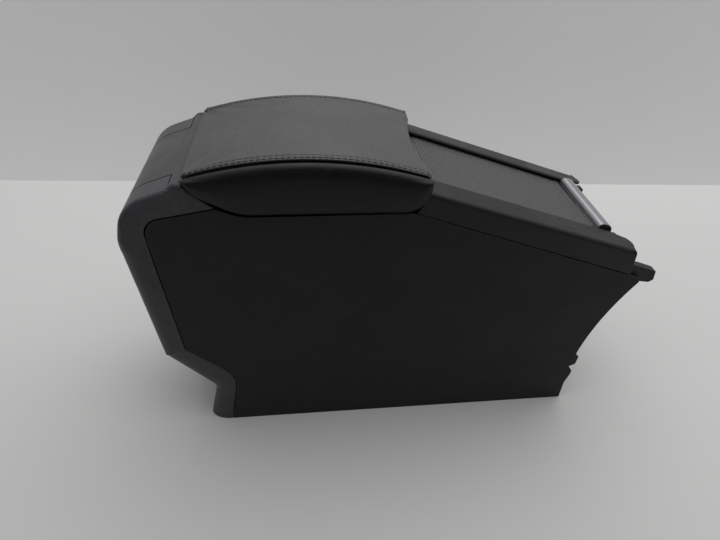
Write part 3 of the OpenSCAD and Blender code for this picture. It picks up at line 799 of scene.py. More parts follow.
@dataclass(frozen=True)
class Thread:
    """Sewing thread, twisted."""

    name: str
    colour: Colour
    roughness: float = 0.7

    def build(self, effects: Effects) -> bpy.types.Material:
        """Makes the material.

        Args:
            effects: the shared groups.

        Returns:
            The material.
        """
        dress = Dressing(self.name, effects)
        twist = dress.add("ShaderNodeTexWave", {"Vector": dress.coords, "Scale": 420.0, "Distortion": 1.5},
                          bands_direction="DIAGONAL").outputs["Fac"]
        dress.put(dress.shader.inputs["Base Color"], dress.shade(self.colour, dress.range(twist, 0.0, 1.0, 0.7, 1.2)))
        dress.put(dress.shader.inputs["Roughness"], dress.range(twist, 0.0, 1.0, self.roughness, self.roughness + 0.1))
        dress.fixed(Specular_IOR_Level=0.2)
        dress.bump(twist, 0.08)
        return dress.material


@dataclass(frozen=True)
class Backdrop:
    """A plain pale surface of the studio. A one-sided one is seen from the front, and lets light through."""

    name: str
    colour: Colour
    one_sided: bool = False

    def build(self, effects: Effects) -> bpy.types.Material:
        """Makes the material.

        Args:
            effects: the shared groups.

        Returns:
            The material.
        """
        dress = Dressing(self.name, effects)
        tone = dress.range(dress.noise(dress.coords, 1.5, 2.0), 0.3, 0.7, 0.985, 1.015)
        dress.put(dress.shader.inputs["Base Color"], dress.shade(self.colour, tone))
        dress.put(dress.shader.inputs["Roughness"], dress.range(tone, 0.985, 1.015, 0.82, 0.9))
        dress.fixed(Specular_IOR_Level=0.15)
        if self.one_sided:
            behind = dress.add("ShaderNodeNewGeometry").outputs["Backfacing"]
            seen = dress.add("ShaderNodeLightPath").outputs["Is Camera Ray"]
            dress.show_only(dress.math("MULTIPLY", seen, dress.math("SUBTRACT", 1.0, behind)))
        return dress.material


@dataclass(frozen=True)
class Flag:
    """A dark card that keeps light off a side, unseen by the camera."""

    name: str
    colour: Colour

    def build(self, effects: Effects) -> bpy.types.Material:
        """Makes the material.

        Args:
            effects: the shared groups.

        Returns:
            The material.
        """
        dress = Dressing(self.name, effects)
        tone = dress.range(dress.noise(dress.coords, 2.0, 2.0), 0.3, 0.7, 0.95, 1.05)
        dress.put(dress.shader.inputs["Base Color"], dress.shade(self.colour, tone))
        dress.fixed(Roughness=0.9, Specular_IOR_Level=0.1)
        seen = dress.add("ShaderNodeLightPath").outputs["Is Camera Ray"]
        dress.show_only(dress.math("SUBTRACT", 1.0, seen))
        return dress.material


class Finish(Enum):
    """The finishes of the armrest, each with the record's material slot that it stands for."""

    PANEL = ("panel_black", Plastic("panel_black", (0.0112, 0.0116, 0.0113), 0.55, 0.22, 0.05, 1000.0))
    COVER = ("cover_black", Plastic("cover_black", (0.055, 0.054, 0.0597), 0.42, 0.16, 0.03, 1100.0))
    STRIP = ("strip_grey", Plastic("strip_grey", (0.038, 0.0374, 0.041), 0.44, 0.32, 0.03, 1100.0))
    # The frame's eased edges get only a faint painted highlight and wear.
    FRAME = ("frame_grey", Plastic("frame_grey", (0.0075, 0.0077, 0.0078), 0.5, 0.28, 0.04, 1000.0, worn_and_highlight=0.004))
    CARRIER = ("carrier_black", Plastic("carrier_black", (0.012, 0.0115, 0.011), 0.6, 0.3, 0.05, 800.0))
    LINER = ("liner_black", Plastic("liner_black", (0.02, 0.02, 0.021), 0.5, 0.35, 0.05, 900.0))
    RUBBER = ("rubber", Plastic("rubber_mat", (0.017, 0.017, 0.017), 0.8, 0.2, 0.08, 700.0, 0.05, 0.02))
    STEEL = ("steel", Metal("zinc_steel", (0.45, 0.45, 0.46), 0.38, 1.0, 0.4))
    PAD = ("pad_leather", Leather("pad_leather", (0.055, 0.0545, 0.057), 0.46, 0.5))
    WING = ("wing_leather", Leather("wing_leather", (0.0042, 0.0044, 0.0042), 0.42, 0.28, 0.07))
    BAR = ("pull_bar", Metal("pull_bar", (0.3, 0.305, 0.32), 0.3, 0.9, 1.0, 0.04))
    CURTAIN = ("curtain", Plastic("curtain_grey", (0.055, 0.055, 0.056), 0.46, 0.5, 0.02, 1400.0, 0.1, 0.02))
    THREAD = ("pad_leather", Thread("seam_thread", (0.004, 0.004, 0.0045)))

    @property
    def slot(self) -> str:
        """The record's material slot."""
        return self.value[0]


class Palette:
    """Builds each finish once and gives it to pieces."""

    def __init__(self) -> None:
        """Starts with the shared groups and no finish."""
        self.effects = Effects()
        self.made: dict[Finish, bpy.types.Material] = {}

    def material(self, finish: Finish) -> bpy.types.Material:
        """A finish's material.

        Args:
            finish: the finish.

        Returns:
            Its material.
        """
        if finish not in self.made:
            self.made[finish] = finish.value[1].build(self.effects)
        return self.made[finish]

    def coat(self, piece: bpy.types.Object, finish: Finish) -> None:
        """Gives a piece one finish all over.

        Args:
            piece: the piece.
            finish: the finish.
        """
        piece.data.materials.clear()
        piece.data.materials.append(self.material(finish))


def hand_over(piece: bpy.types.Object, finish: Finish, body: Body, palette: Palette, *nodes: str) -> None:
    """Coats a finished piece, hangs it on its body and hides the frame nodes that it replaces.

    Args:
        piece: the piece.
        finish: its finish.
        body: the body that it moves with.
        palette: the finishes.
        *nodes: the frame nodes that it replaces.
    """
    palette.coat(piece, finish)
    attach(piece, body.value)
    finish.slot
    if nodes:
        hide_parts(*nodes)
    log.info("%s: %d faces, %s", piece.name, len(piece.data.polygons), body.value)


@dataclass(frozen=True)
class EasedPart:
    """A rigid node with its edges eased.

    Its rear edge, its sides and its top can be drawn in, in millimetres, to show the gap round it.
    """

    node: str
    finish: Finish
    width: float = 0.5
    segments: int = 2
    angle: float = SHARP_ANGLE
    drawn_in: Triple = (0.0, 0.0, 0.0)


# ---- the armrest


@dataclass
class Console:
    """The fixed body: panels, covers, frame, carrier, bin, tray, tracks and hinge brackets."""

    palette: Palette
    crease: float = 5.0
    fine: float = 0.7
    slope: float = SLOPE
    crease_z: float = CREASE_Z
    half_width: float = 85.0
    window: float = 55.0
    camber: float = 1.8
    rail_skin: float = 3.4
    inner_share: float = 0.7
    skirt_rear: Triple = (14.0, -3.5, 1.0)
    skirt_inset: float = 5.0
    skirt_below: float = 1.0
    near: float = 0.1
    long_edge: float = 60.0
    cheek_share: float = 0.8
    cheek: tuple[Pair, ...] = (
        (-220.7, 306.0), (-220.7, 314.2), (-218.9, 317.0), (-216.6, 319.0), (-213.5, 320.0), (-209.2, 320.1),
        (-207.4, 318.8), (-206.6, 306.0))
    cheek_y: Pair = (77.0, 85.1)
    parts: list[EasedPart] = field(default_factory=lambda: [
        EasedPart("side_panel_right", Finish.PANEL, 0.4, drawn_in=(0.7, 0.0, 0.7)),
        EasedPart("side_panel_left", Finish.PANEL, 0.4, drawn_in=(0.7, 0.0, 0.7)),
        EasedPart("rear_cover", Finish.COVER, 0.45, 2, 50.0),
        EasedPart("rear_panel", Finish.STRIP, 0.45, drawn_in=(0.0, 0.7, 0.0)),
        EasedPart("inner_carrier", Finish.CARRIER, 0.6),
        EasedPart("storage_bin", Finish.LINER, 0.6),
        EasedPart("cup_tray", Finish.LINER, 0.6),
        EasedPart("track_right", Finish.CARRIER, 0.3),
        EasedPart("track_left", Finish.CARRIER, 0.3),
        EasedPart("bin_mat", Finish.RUBBER, 0.5),
        EasedPart("cup_mats", Finish.RUBBER, 0.5),
        EasedPart("hinge_bracket", Finish.STEEL, 0.3),
        EasedPart("bracket_screws", Finish.STEEL, 0.2),
        EasedPart("hinge_pins", Finish.STEEL, 0.2),
        EasedPart("latch_striker", Finish.STEEL, 0.3),
    ])

    def build(self) -> None:
        """Builds and dresses every piece of the console."""
        for part in self.parts:
            ease_part(part, Body.CONSOLE, self.palette)
        self.build_frame()
        self.build_cheeks()

    def build_frame(self) -> None:
        """The shutter frame, with the long soft crease between each rail and its skirt."""
        piece = merged_copy("shutter_frame")
        fall = Vector((math.cos(math.radians(self.slope)), 0.0, -math.sin(math.radians(self.slope))))
        rail_width = self.half_width - self.window
        limit_x, back, rise = self.skirt_rear
        for vertex in piece.data.vertices:
            place = vertex.co / MM
            below = self.crease_z - place.x * math.tan(math.radians(self.slope)) - place.z
            inwards = self.half_width - abs(place.y)
            if -self.near < below < self.rail_skin and inwards < rail_width + self.near:
                vertex.co.z += self.camber * inwards / rail_width * MM
            if place.x < limit_x and inwards < self.skirt_inset and below > self.rail_skin + self.skirt_below:
                vertex.co += Vector((back, 0.0, rise)) * MM

        def weight(edge: bmesh.types.BMEdge) -> float:
            """The full rounding on a rail's long edges, less on the inner one, a little on every other sharp edge."""
            run = edge.verts[1].co - edge.verts[0].co
            upward = any(face.normal.dot(Vector((-fall.z, 0, fall.x))) > 0.9 for face in edge.link_faces)
            if upward and run.length > self.long_edge * MM and abs(run.normalized().dot(fall)) > 0.99:
                for y, share in ((self.half_width, 1.0), (self.window, self.inner_share)):
                    if all(abs(abs(v.co.y) - y * MM) < 2 * self.near * MM for v in edge.verts):
                        return share
            sharp = edge.is_manifold and edge.calc_face_angle(0.0) > math.radians(SHARP_ANGLE)
            return self.fine / self.crease if sharp else 0.0

        weigh_edges(piece, weight)
        ease_edges(piece, self.crease, 5, weighed=True)
        smooth(piece)
        hand_over(piece, Finish.FRAME, Body.CONSOLE, self.palette, "shutter_frame")

    def build_cheeks(self) -> None:
        """The cover's two front corners beside the lid's roll, up to the wings' rear tips."""
        inner, outer = self.cheek_y
        cheeks = []
        for side in (-1, 1):
            outline = [Vector((x, side * inner, z)) * MM for x, z in self.cheek]
            cheek = outline_bar("cover_cheek", outline, Vector((0.0, side * (outer - inner) * MM, 0.0)))
            edit(cheek)
            pick(cheek, Element.EDGES, lambda edge: all(
                abs(v.co.y) > (outer - self.near) * MM and v.co.z > self.cheek[1][1] * MM - 1e-5 for v in edge.verts))
            bpy.ops.mesh.bevel(offset=self.crease * self.cheek_share * MM, segments=5, profile=0.5, clamp_overlap=True)
            cheeks.append(cheek)
        piece = join("cover_cheeks", cheeks)
        smooth(piece)
        hand_over(piece, Finish.COVER, Body.CONSOLE, self.palette)


def ease_part(part: EasedPart, body: Body, palette: Palette) -> bpy.types.Object:
    """Builds one eased part and hands it over.

    Args:
        part: what to build.
        body: the body that it moves with.
        palette: the finishes.

    Returns:
        The piece.
    """
    piece = merged_copy(part.node)
    low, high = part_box(part.node)
    rear, sides, top = (amount * MM for amount in part.drawn_in)
    for vertex in piece.data.vertices:
        place = vertex.co
        place.x += rear * (high[0] - place.x) / (high[0] - low[0])
        place.y -= sides * place.y / max(high[1], -low[1])
        place.z -= top * (place.z - low[2]) / (high[2] - low[2])
    ease_edges(piece, part.width, part.segments, part.angle)
    for vertex in piece.data.vertices:
        vertex.co = [min(max(value, least), most) for value, least, most in zip(vertex.co, low, high)]
    smooth(piece)
    hand_over(piece, part.finish, body, palette, part.node)
    return piece


@dataclass
class LidFrame:
    """The lid's rigid parts and the latch."""

    palette: Palette
    parts: list[EasedPart] = field(default_factory=lambda: [
        EasedPart("lid_carrier", Finish.LINER, 0.5),
        EasedPart("lid_liner", Finish.LINER, 0.8, 3),
        EasedPart("hinge_arms", Finish.STEEL, 0.3),
        EasedPart("arm_screws", Finish.STEEL, 0.2),
        EasedPart("bump_stops", Finish.RUBBER, 0.5),
        EasedPart("latch_pin", Finish.STEEL, 0.2),
    ])
    paddle: EasedPart = EasedPart("latch_paddle", Finish.LINER, 0.25)

    def build(self) -> None:
        """Builds and dresses every rigid piece of the lid, and the latch paddle."""
        for part in self.parts:
            ease_part(part, Body.LID, self.palette)
        ease_part(self.paddle, Body.LATCH, self.palette)
        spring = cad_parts["latch_spring"]
        spring.data.materials.clear()
        spring.data.materials.append(self.palette.material(Finish.STEEL))


@dataclass
class Shutter:
    """The ribbed shutter and its pull bar. The shutter's path falls from the pad's front edge to the bar."""

    palette: Palette
    slope: float = SLOPE
    start_x: float = 206.0
    sunk: float = 3.6
    start_z: float = CREASE_Z - start_x * math.tan(math.radians(SLOPE)) - sunk
    straight: float = 181.0 / math.cos(math.radians(SLOPE))
    tail: float = 20.0
    bend_radius: float = 24.0
    half_width: float = 59.0
    pull_strip: float = 7.0
    rib_pitch: float = 3.5
    rib_height: float = 0.9
    rib_shape: tuple[Pair, ...] = (
        (0.0, -1.0), (0.1, -0.82), (0.2, -0.22), (0.32, 0.0), (0.52, 0.0), (0.64, -0.22), (0.74, -0.82), (0.84, -1.0),
        (1.0, -1.0))
    strip_shape: tuple[Pair, ...] = (
        (0.0, -2.0), (0.0, -0.9), (0.3, -0.3), (0.9, 0.0), (4.2, 0.0), (4.6, -0.25), (4.9, 0.0), (5.8, 0.0),
        (6.3, -0.2), (6.7, -rib_height), (pull_strip, -rib_height))
    sheet: float = 1.3
    bar_length: float = 107.0
    bar_width: float = 17.0
    bar_height: float = 9.0
    bar_start: float = 0.3
    bar_rounding: Pair = (0.65, 0.75)
    cap: float = 1.5
    cap_rounding: float = 1.2
    travel: float = 165.0

    def on_path(self, along: float, off: float, across: float) -> Vector:
        """A point of the shutter.

        Args:
            along: its distance along the path from the bar.
            off: its height over the path.
            across: its Y.

        Returns:
            The place, in metres.
        """
        lean = math.radians(self.slope)
        back = Vector((-math.cos(lean), 0.0, math.sin(lean)))
        up = Vector((math.sin(lean), 0.0, math.cos(lean)))
        start = Vector((self.start_x, across, self.start_z))
        if along <= self.straight:
            return (start + back * along + up * off) * MM
        turn = (along - self.straight) / self.bend_radius
        centre = start + back * self.straight - up * self.bend_radius
        reach = self.bend_radius + off
        return (centre + up * (reach * math.cos(turn)) + back * (reach * math.sin(turn))) * MM

    def build(self) -> None:
        """Builds the shutter and its bar."""
        self.build_curtain()
        self.build_bar()
        self.build_shoes()

    def rib_profile(self) -> list[Pair]:
        """One rib across the shutter: distance along it and height.

        Returns:
            The profile's points, from a groove to the next groove.
        """
        return [(along * self.rib_pitch, height * self.rib_height) for along, height in self.rib_shape]

    def build_curtain(self) -> None:
        """The ribbed strip: one rib modelled flat, repeated, then laid along the path."""
        profile = self.rib_profile()
        rib = laid_grid("shutter_ribs", len(profile) - 1, 4, lambda row, column: Vector(
            (profile[row][0] * MM, (column / 2 - 1) * self.half_width * MM, profile[row][1] * MM)))
        count = math.floor((self.straight + self.tail - self.pull_strip) / self.rib_pitch)
        apply_modifier(rib, "ARRAY", count=count, use_relative_offset=False, use_constant_offset=True,
                       constant_offset_displace=(self.rib_pitch * MM, 0.0, 0.0), use_merge_vertices=True,
                       merge_threshold=0.05 * MM)
        edge = self.strip_shape
        strip = laid_grid("pull_strip", len(edge) - 1, 4, lambda row, column: Vector(
            ((edge[row][0] - self.pull_strip) * MM, (column / 2 - 1) * self.half_width * MM, edge[row][1] * MM)))
        piece = join("shutter_ribs", [rib, strip])
        edit(piece)
        select_all()
        bpy.ops.mesh.remove_doubles(threshold=0.02 * MM)
        deselect()
        for vertex in piece.data.vertices:
            along = vertex.co.x / MM + self.pull_strip
            vertex.co = self.on_path(along, vertex.co.z / MM, vertex.co.y / MM)
        if piece.data.polygons[0].normal.z < 0:
            flip_faces(piece)
        apply_modifier(piece, "SOLIDIFY", thickness=self.sheet * MM, offset=-1.0)
        smooth(piece, 30.0, weighted=False)
        hand_over(piece, Finish.CURTAIN, Body.CONSOLE, self.palette, "shutter_curtain")
        tuple(self.on_path(self.straight, 0.0, 0.0))
        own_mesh(piece)

    def bar_section(self) -> list[Vector]:
        """The pull bar's section at its right end.

        Returns:
            The section's points, in metres.
        """
        front, rear = self.bar_rounding
        corners = [(-self.bar_start, 0.0), (-self.bar_start, self.bar_height, self.bar_height * front),
                   (-self.bar_width, self.bar_height, self.bar_height * rear), (-self.bar_width, 0.0)]
        return [self.on_path(along, off, -self.bar_length / 2) for along, off in rounded(corners, 10)]

    def build_bar(self) -> None:
        """The pull bar and its two end caps, rounded over at the ends."""
        section = self.bar_section()
        bar = outline_bar("pull_bar", [p + Vector((0, self.cap * MM, 0)) for p in section],
                          Vector((0.0, (self.bar_length - 2 * self.cap) * MM, 0.0)))
        ease_edges(bar, 0.3, 2, 60.0)
        smooth(bar)
        hand_over(bar, Finish.BAR, Body.SHUTTER, self.palette, "handle_bar")
        caps = []
        for shift in (0.0, self.bar_length - self.cap):
            caps.append(outline_bar("bar_cap", [p + Vector((0, shift * MM, 0)) for p in section],
                                    Vector((0.0, self.cap * MM, 0.0))))
        cap = join("bar_caps", caps)
        edit(cap)
        outer = (self.bar_length / 2 - 0.01) * MM
        pick(cap, Element.FACES, lambda face: all(abs(v.co.y) > outer for v in face.verts))
        bpy.ops.mesh.bevel(offset=self.cap_rounding * MM, segments=4, profile=0.5, clamp_overlap=True)
        deselect()
        smooth(cap)
        hand_over(cap, Finish.LINER, Body.SHUTTER, self.palette, "handle_caps")

    def build_shoes(self) -> None:
        """The shoes that run in the tracks."""
        ease_part(EasedPart("handle_shoes", Finish.CARRIER, 0.3), Body.SHUTTER, self.palette)


@dataclass(frozen=True)
class Arch:
    """The arch that the pad and the wings follow, seen from the side."""

    centre_x: float = -108.5
    centre_z: float = -30.0
    radius: float = 370.0

    def height(self, x: float) -> float:
        """The arch's height at an X.

        Args:
            x: the place, in millimetres.

        Returns:
            The height, in millimetres.
        """
        return self.centre_z + math.sqrt(self.radius ** 2 - (x - self.centre_x) ** 2)

    def along(self, x: float) -> Vector:
        """The way that a seam on the arch runs at an X."""
        return Vector((self.height(x) / self.radius, 0.0, -(x - self.centre_x) / self.radius))


@dataclass(frozen=True)
class Filling:
    """How the leather behaves while a padded piece fills out."""

    quality: int = 6
    mass: float = 0.25
    stiffness: float = 12.0
    bending: float = 0.6
    frames: int = 20


def swell(piece: bpy.types.Object, pinned: Sequence[int], cap: float, pressure: float = 4.0) -> None:
    """Fills a padded piece by a short cloth simulation, and keeps its points near where they were.

    Args:
        piece: the closed piece.
        pinned: the points that stay.
        cap: how far a point may move, in millimetres.
        pressure: the pressure inside.
    """
    activate(piece)
    group = piece.vertex_groups.new(name="pinned")
    group.add(list(pinned), 1.0, "REPLACE")
    modifier = piece.modifiers.new("cloth", "CLOTH")
    filling = Filling()
    cloth = modifier.settings
    cloth.quality = filling.quality
    cloth.mass = filling.mass
    cloth.tension_stiffness = cloth.compression_stiffness = filling.stiffness
    cloth.bending_stiffness = filling.bending
    cloth.vertex_group_mass = group.name
    cloth.use_pressure = True
    cloth.uniform_pressure_force = pressure
    cloth.effector_weights.gravity = 0.0
    modifier.collision_settings.use_collision = False
    modifier.point_cache.frame_start, modifier.point_cache.frame_end = 1, filling.frames
    scene = bpy.context.scene
    for step in range(1, filling.frames + 1):
        scene.frame_set(step)
    rest = [vertex.co.copy() for vertex in piece.data.vertices]
    done = piece.evaluated_get(bpy.context.evaluated_depsgraph_get())
    moved = [vertex.co.copy() for vertex in done.data.vertices]
    piece.modifiers.remove(modifier)
    piece.vertex_groups.clear()
    scene.frame_set(1)
    for vertex, was, now in zip(piece.data.vertices, rest, moved):
        step_taken = now - was
        limit = cap * MM
        share = limit / (limit + step_taken.length) if step_taken.length > 0 else 1.0
        vertex.co = was + step_taken * share


def closed_pillow(name: str, rows: int, columns: int, upper: Callable[[int, int], Vector],
                  lower: Callable[[int, int], Vector], walls: Sequence[Callable[[int, int], Vector]]
                  ) -> tuple[bpy.types.Object, set[int]]:
    """A closed form of an upper and a lower grid with rings of wall between their borders.

    Args:
        name: the piece's name.
        rows: cells one way.
        columns: cells the other way.
        upper: gives the upper grid's points.
        lower: gives the lower grid's points.
        walls: give the rings between them, from the top down.

    Returns:
        The piece, and the numbers of its lower points.
    """
    border = ([(i, 0) for i in range(rows)] + [(rows, j) for j in range(columns)]
              + [(i, columns) for i in range(rows, 0, -1)] + [(0, j) for j in range(columns, 0, -1)])
    points: list[Vector] = []
    faces: list[tuple[int, ...]] = []

    def sheet(place: Callable[[int, int], Vector], turned: bool) -> dict[tuple[int, int], int]:
        """Adds one grid and gives its points' numbers."""
        first = len(points)
        at = {}
        for i in range(rows + 1):
            for j in range(columns + 1):
                at[i, j] = first + i * (columns + 1) + j
                points.append(place(i, j))
        for i in range(rows):
            for j in range(columns):
                loop = (at[i, j], at[i + 1, j], at[i + 1, j + 1], at[i, j + 1])
                faces.append(loop[::-1] if turned else loop)
        return at

    def band(over: Sequence[int], under: Sequence[int]) -> None:
        """Adds the faces between two rings of points."""
        for k in range(len(border)):
            m = (k + 1) % len(border)
            faces.append((over[m], over[k], under[k], under[m]))

    top = sheet(upper, False)
    ring = [top[key] for key in border]
    for wall in walls:
        lower_ring = list(range(len(points), len(points) + len(border)))
        points.extend(wall(i, j) for i, j in border)
        band(ring, lower_ring)
        ring = lower_ring
    base = sheet(lower, True)
    band(ring, [base[key] for key in border])
    mesh = bpy.data.meshes.new(name)
    mesh.from_pydata([p * MM for p in points], [], faces)
    piece = bpy.data.objects.new(name, mesh)
    bpy.context.scene.collection.objects.link(piece)
    return piece, set(base.values()) | set(ring)


@dataclass
class PaddedTop:
    """The padded top of the armrest, with its two double seams."""

    palette: Palette
    arch: Arch = Arch()
    half_width: float = 79.6
    rear_x: float = -208.6
    front_x: float = 16.8
    scoop_radius: float = 260.0
    scoop_centre_x: float = 269.5
    corner_radius: float = 2.6
    bottom_z: float = 314.4
    nose_z: float = 305.0
    nose_x: float = 6.6
    cell: float = 4.6
    puff: float = 2.6
    top_inset: float = 0.8
    top_drop: float = 0.9
    edge_drop: float = 0.6
    edge_run: float = 30.0
    rings: tuple[Pair, ...] = ((0.0, 2.6), (1.0, 4.1), (2.6, 5.6))
    front_fall: float = 0.6
    base_inset: float = 3.2
    nose_run: float = 2.5
    least: float = 5.5
    seam_lines: Pair = (2.6, 7.6)
    groove: float = 0.9
    groove_width: float = 1.15
    pucker: float = 0.2
    band: Pair = (0.4, 1.9)
    flank: float = 0.35
    stitch_pitch: float = 5.4
    stitch_length: float = 4.7
    thread_radius: float = 0.4
    thread_swell: float = 1.25
    seam_ends: Pair = (5.0, 4.0)

    def front_at(self, y: float) -> float:
        """The pad's front edge, scooped.

        Args:
            y: the place across, in millimetres.

        Returns:
            The edge's X, in millimetres.
        """
        scooped = self.scoop_centre_x - math.sqrt(self.scoop_radius ** 2 - y ** 2)
        turned = max(0.0, abs(y) - self.half_width + self.corner_radius)
        corner = self.corner_radius - math.sqrt(max(0.0, self.corner_radius ** 2 - turned ** 2))
        return min(self.front_x, scooped) - corner

    def build(self) -> None:
        """Builds the pad and its stitching."""
        rows = round((self.front_x - self.rear_x) / self.cell)
        columns = round(2 * self.half_width / self.cell)

        def plan(i: int, j: int, inset: float) -> Pair:
            """A point's place seen from above, the outline drawn in by an inset."""
            y = (self.half_width - inset) * (2 * j / columns - 1)
            front = self.front_at(y) - inset
            rear = self.rear_x + inset
            return rear + (front - rear) * i / rows, y

        def upper(i: int, j: int) -> Vector:
            """A point of the top."""
            x, y = plan(i, j, self.top_inset)
            edge = min(1.0, (self.half_width - abs(y)) / self.edge_run)
            start = self.puff * (1 - (1 - edge) ** 2)
            return Vector((x, y, self.arch.height(x) - self.top_drop - self.edge_drop * start))

        def ring(inset: float, drop: float) -> Callable[[int, int], Vector]:
            """A ring of the pad's side."""
            def place(i: int, j: int) -> Vector:
                """A point of the ring."""
                x, y = plan(i, j, inset)
                z = self.arch.height(x) - drop
                if i == rows:
                    z -= drop * self.front_fall
                return Vector((x, y, z))
            return place

        def lower(i: int, j: int) -> Vector:
            """A point of the underside, with the nose over the lid plate's front."""
            x, y = plan(i, j, self.base_inset)
            nose = min(1.0, max(0.0, (x - self.nose_x) / self.nose_run))
            z = self.bottom_z + (self.nose_z - self.bottom_z) * nose
            if i == rows:
                z = self.nose_z
            return Vector((x, y, min(z, self.arch.height(x) - self.least)))

        piece, pinned = closed_pillow("padded_top", rows, columns, upper, lower,
                                      [ring(*each) for each in self.rings])
        swell(piece, sorted(pinned), self.puff)
        apply_modifier(piece, "SUBSURF", levels=2, render_levels=2)
        self.sew(piece)
        face_outwards(piece)
        smooth_all(piece)
        hand_over(piece, Finish.PAD, Body.LID, self.palette, "pad_top")
        self.stitch(piece)

    def sew(self, piece: bpy.types.Object) -> None:
        """Draws the seams in: two grooves along each side with a puffed band between them.

        Args:
            piece: the pad.
        """
        middle = sum(self.seam_lines) / 2
        rise, spread = self.band
        for vertex, normal in zip(piece.data.vertices, [v.normal.copy() for v in piece.data.vertices]):
            if normal.z < self.flank:
                continue
            inset = self.half_width - abs(vertex.co.y) / MM
            phase = math.cos(2 * math.pi * vertex.co.x / MM / self.stitch_pitch)
            drawn = self.groove * (1 - self.pucker + self.pucker * phase)
            depth = sum(drawn * math.exp(-((inset - line) / self.groove_width) ** 2) for line in self.seam_lines)
            depth -= rise * math.exp(-((inset - middle) / spread) ** 2)
            vertex.co.z -= depth * MM

    def stitch(self, pad: bpy.types.Object) -> None:
        """Lays thread in the seams.

        Args:
            pad: the finished pad.
        """
        deselect()
        bpy.ops.mesh.primitive_uv_sphere_add(segments=6, ring_count=5, radius=1.0, rotation=(0, math.pi / 2, 0))
        model = bpy.context.object
        bpy.ops.object.transform_apply(location=False, rotation=True, scale=False)
        for vertex in model.data.vertices:
            vertex.co = Vector((vertex.co.x * self.stitch_length / 2, vertex.co.y * self.thread_radius * self.thread_swell,
                                vertex.co.z * self.thread_radius)) * MM
        copies = []
        bpy.context.evaluated_depsgraph_get().update()
        first, last = self.seam_ends
        for side in (-1, 1):
            for line in self.seam_lines:
                y = side * (self.half_width - line)
                x = self.rear_x + first
                while x < self.front_at(y) - last:
                    hit, place, normal, _ = pad.ray_cast(Vector((x, y, 380.0)) * MM, Vector((0, 0, -1)))
                    if hit:
                        copy = bpy.data.objects.new("stitch", model.data.copy())
                        bpy.context.scene.collection.objects.link(copy)
                        lean = Vector((1, 0, 0)).rotation_difference(self.arch.along(x))
                        copy.data.transform(Matrix.Translation(place + normal * 0.1 * MM) @ lean.to_matrix().to_4x4())
                        copies.append(copy)
                    x += self.stitch_pitch
        bpy.data.objects.remove(model)
        piece = join("seam_stitches", copies)
        smooth_all(piece)
        hand_over(piece, Finish.THREAD, Body.LID, self.palette)


@dataclass
class RearLip:
    """The skin over the lid's rear roll, in the strip's grey, with a lap under the pad."""

    palette: Palette
    hinge: Pair = (-213.5, 314.0)
    radius: float = 5.3
    thickness: float = 0.4
    lap: float = 8.0
    start: float = 90.0
    end: float = 142.0
    half_width: float = 76.8
    steps: int = 12

    def build(self) -> None:
        """Builds the skin as an arc extruded across the lid."""
        turns = [math.radians(self.start + (self.end - self.start) * k / self.steps) for k in range(self.steps + 1)]
        reach = self.radius + self.thickness
        outer = [(self.lap, reach)] + [(reach * math.cos(turn), reach * math.sin(turn)) for turn in turns]
        inner = [(self.radius * math.cos(turn), self.radius * math.sin(turn)) for turn in reversed(turns)]
        inner.append((self.lap, self.radius))
        outline = [Vector((self.hinge[0] + x, -self.half_width, self.hinge[1] + z)) * MM for x, z in outer + inner]
        piece = outline_bar("rear_lip", outline, Vector((0.0, 2 * self.half_width * MM, 0.0)))
        smooth(piece, 40.0)
        hand_over(piece, Finish.STRIP, Body.LID, self.palette)


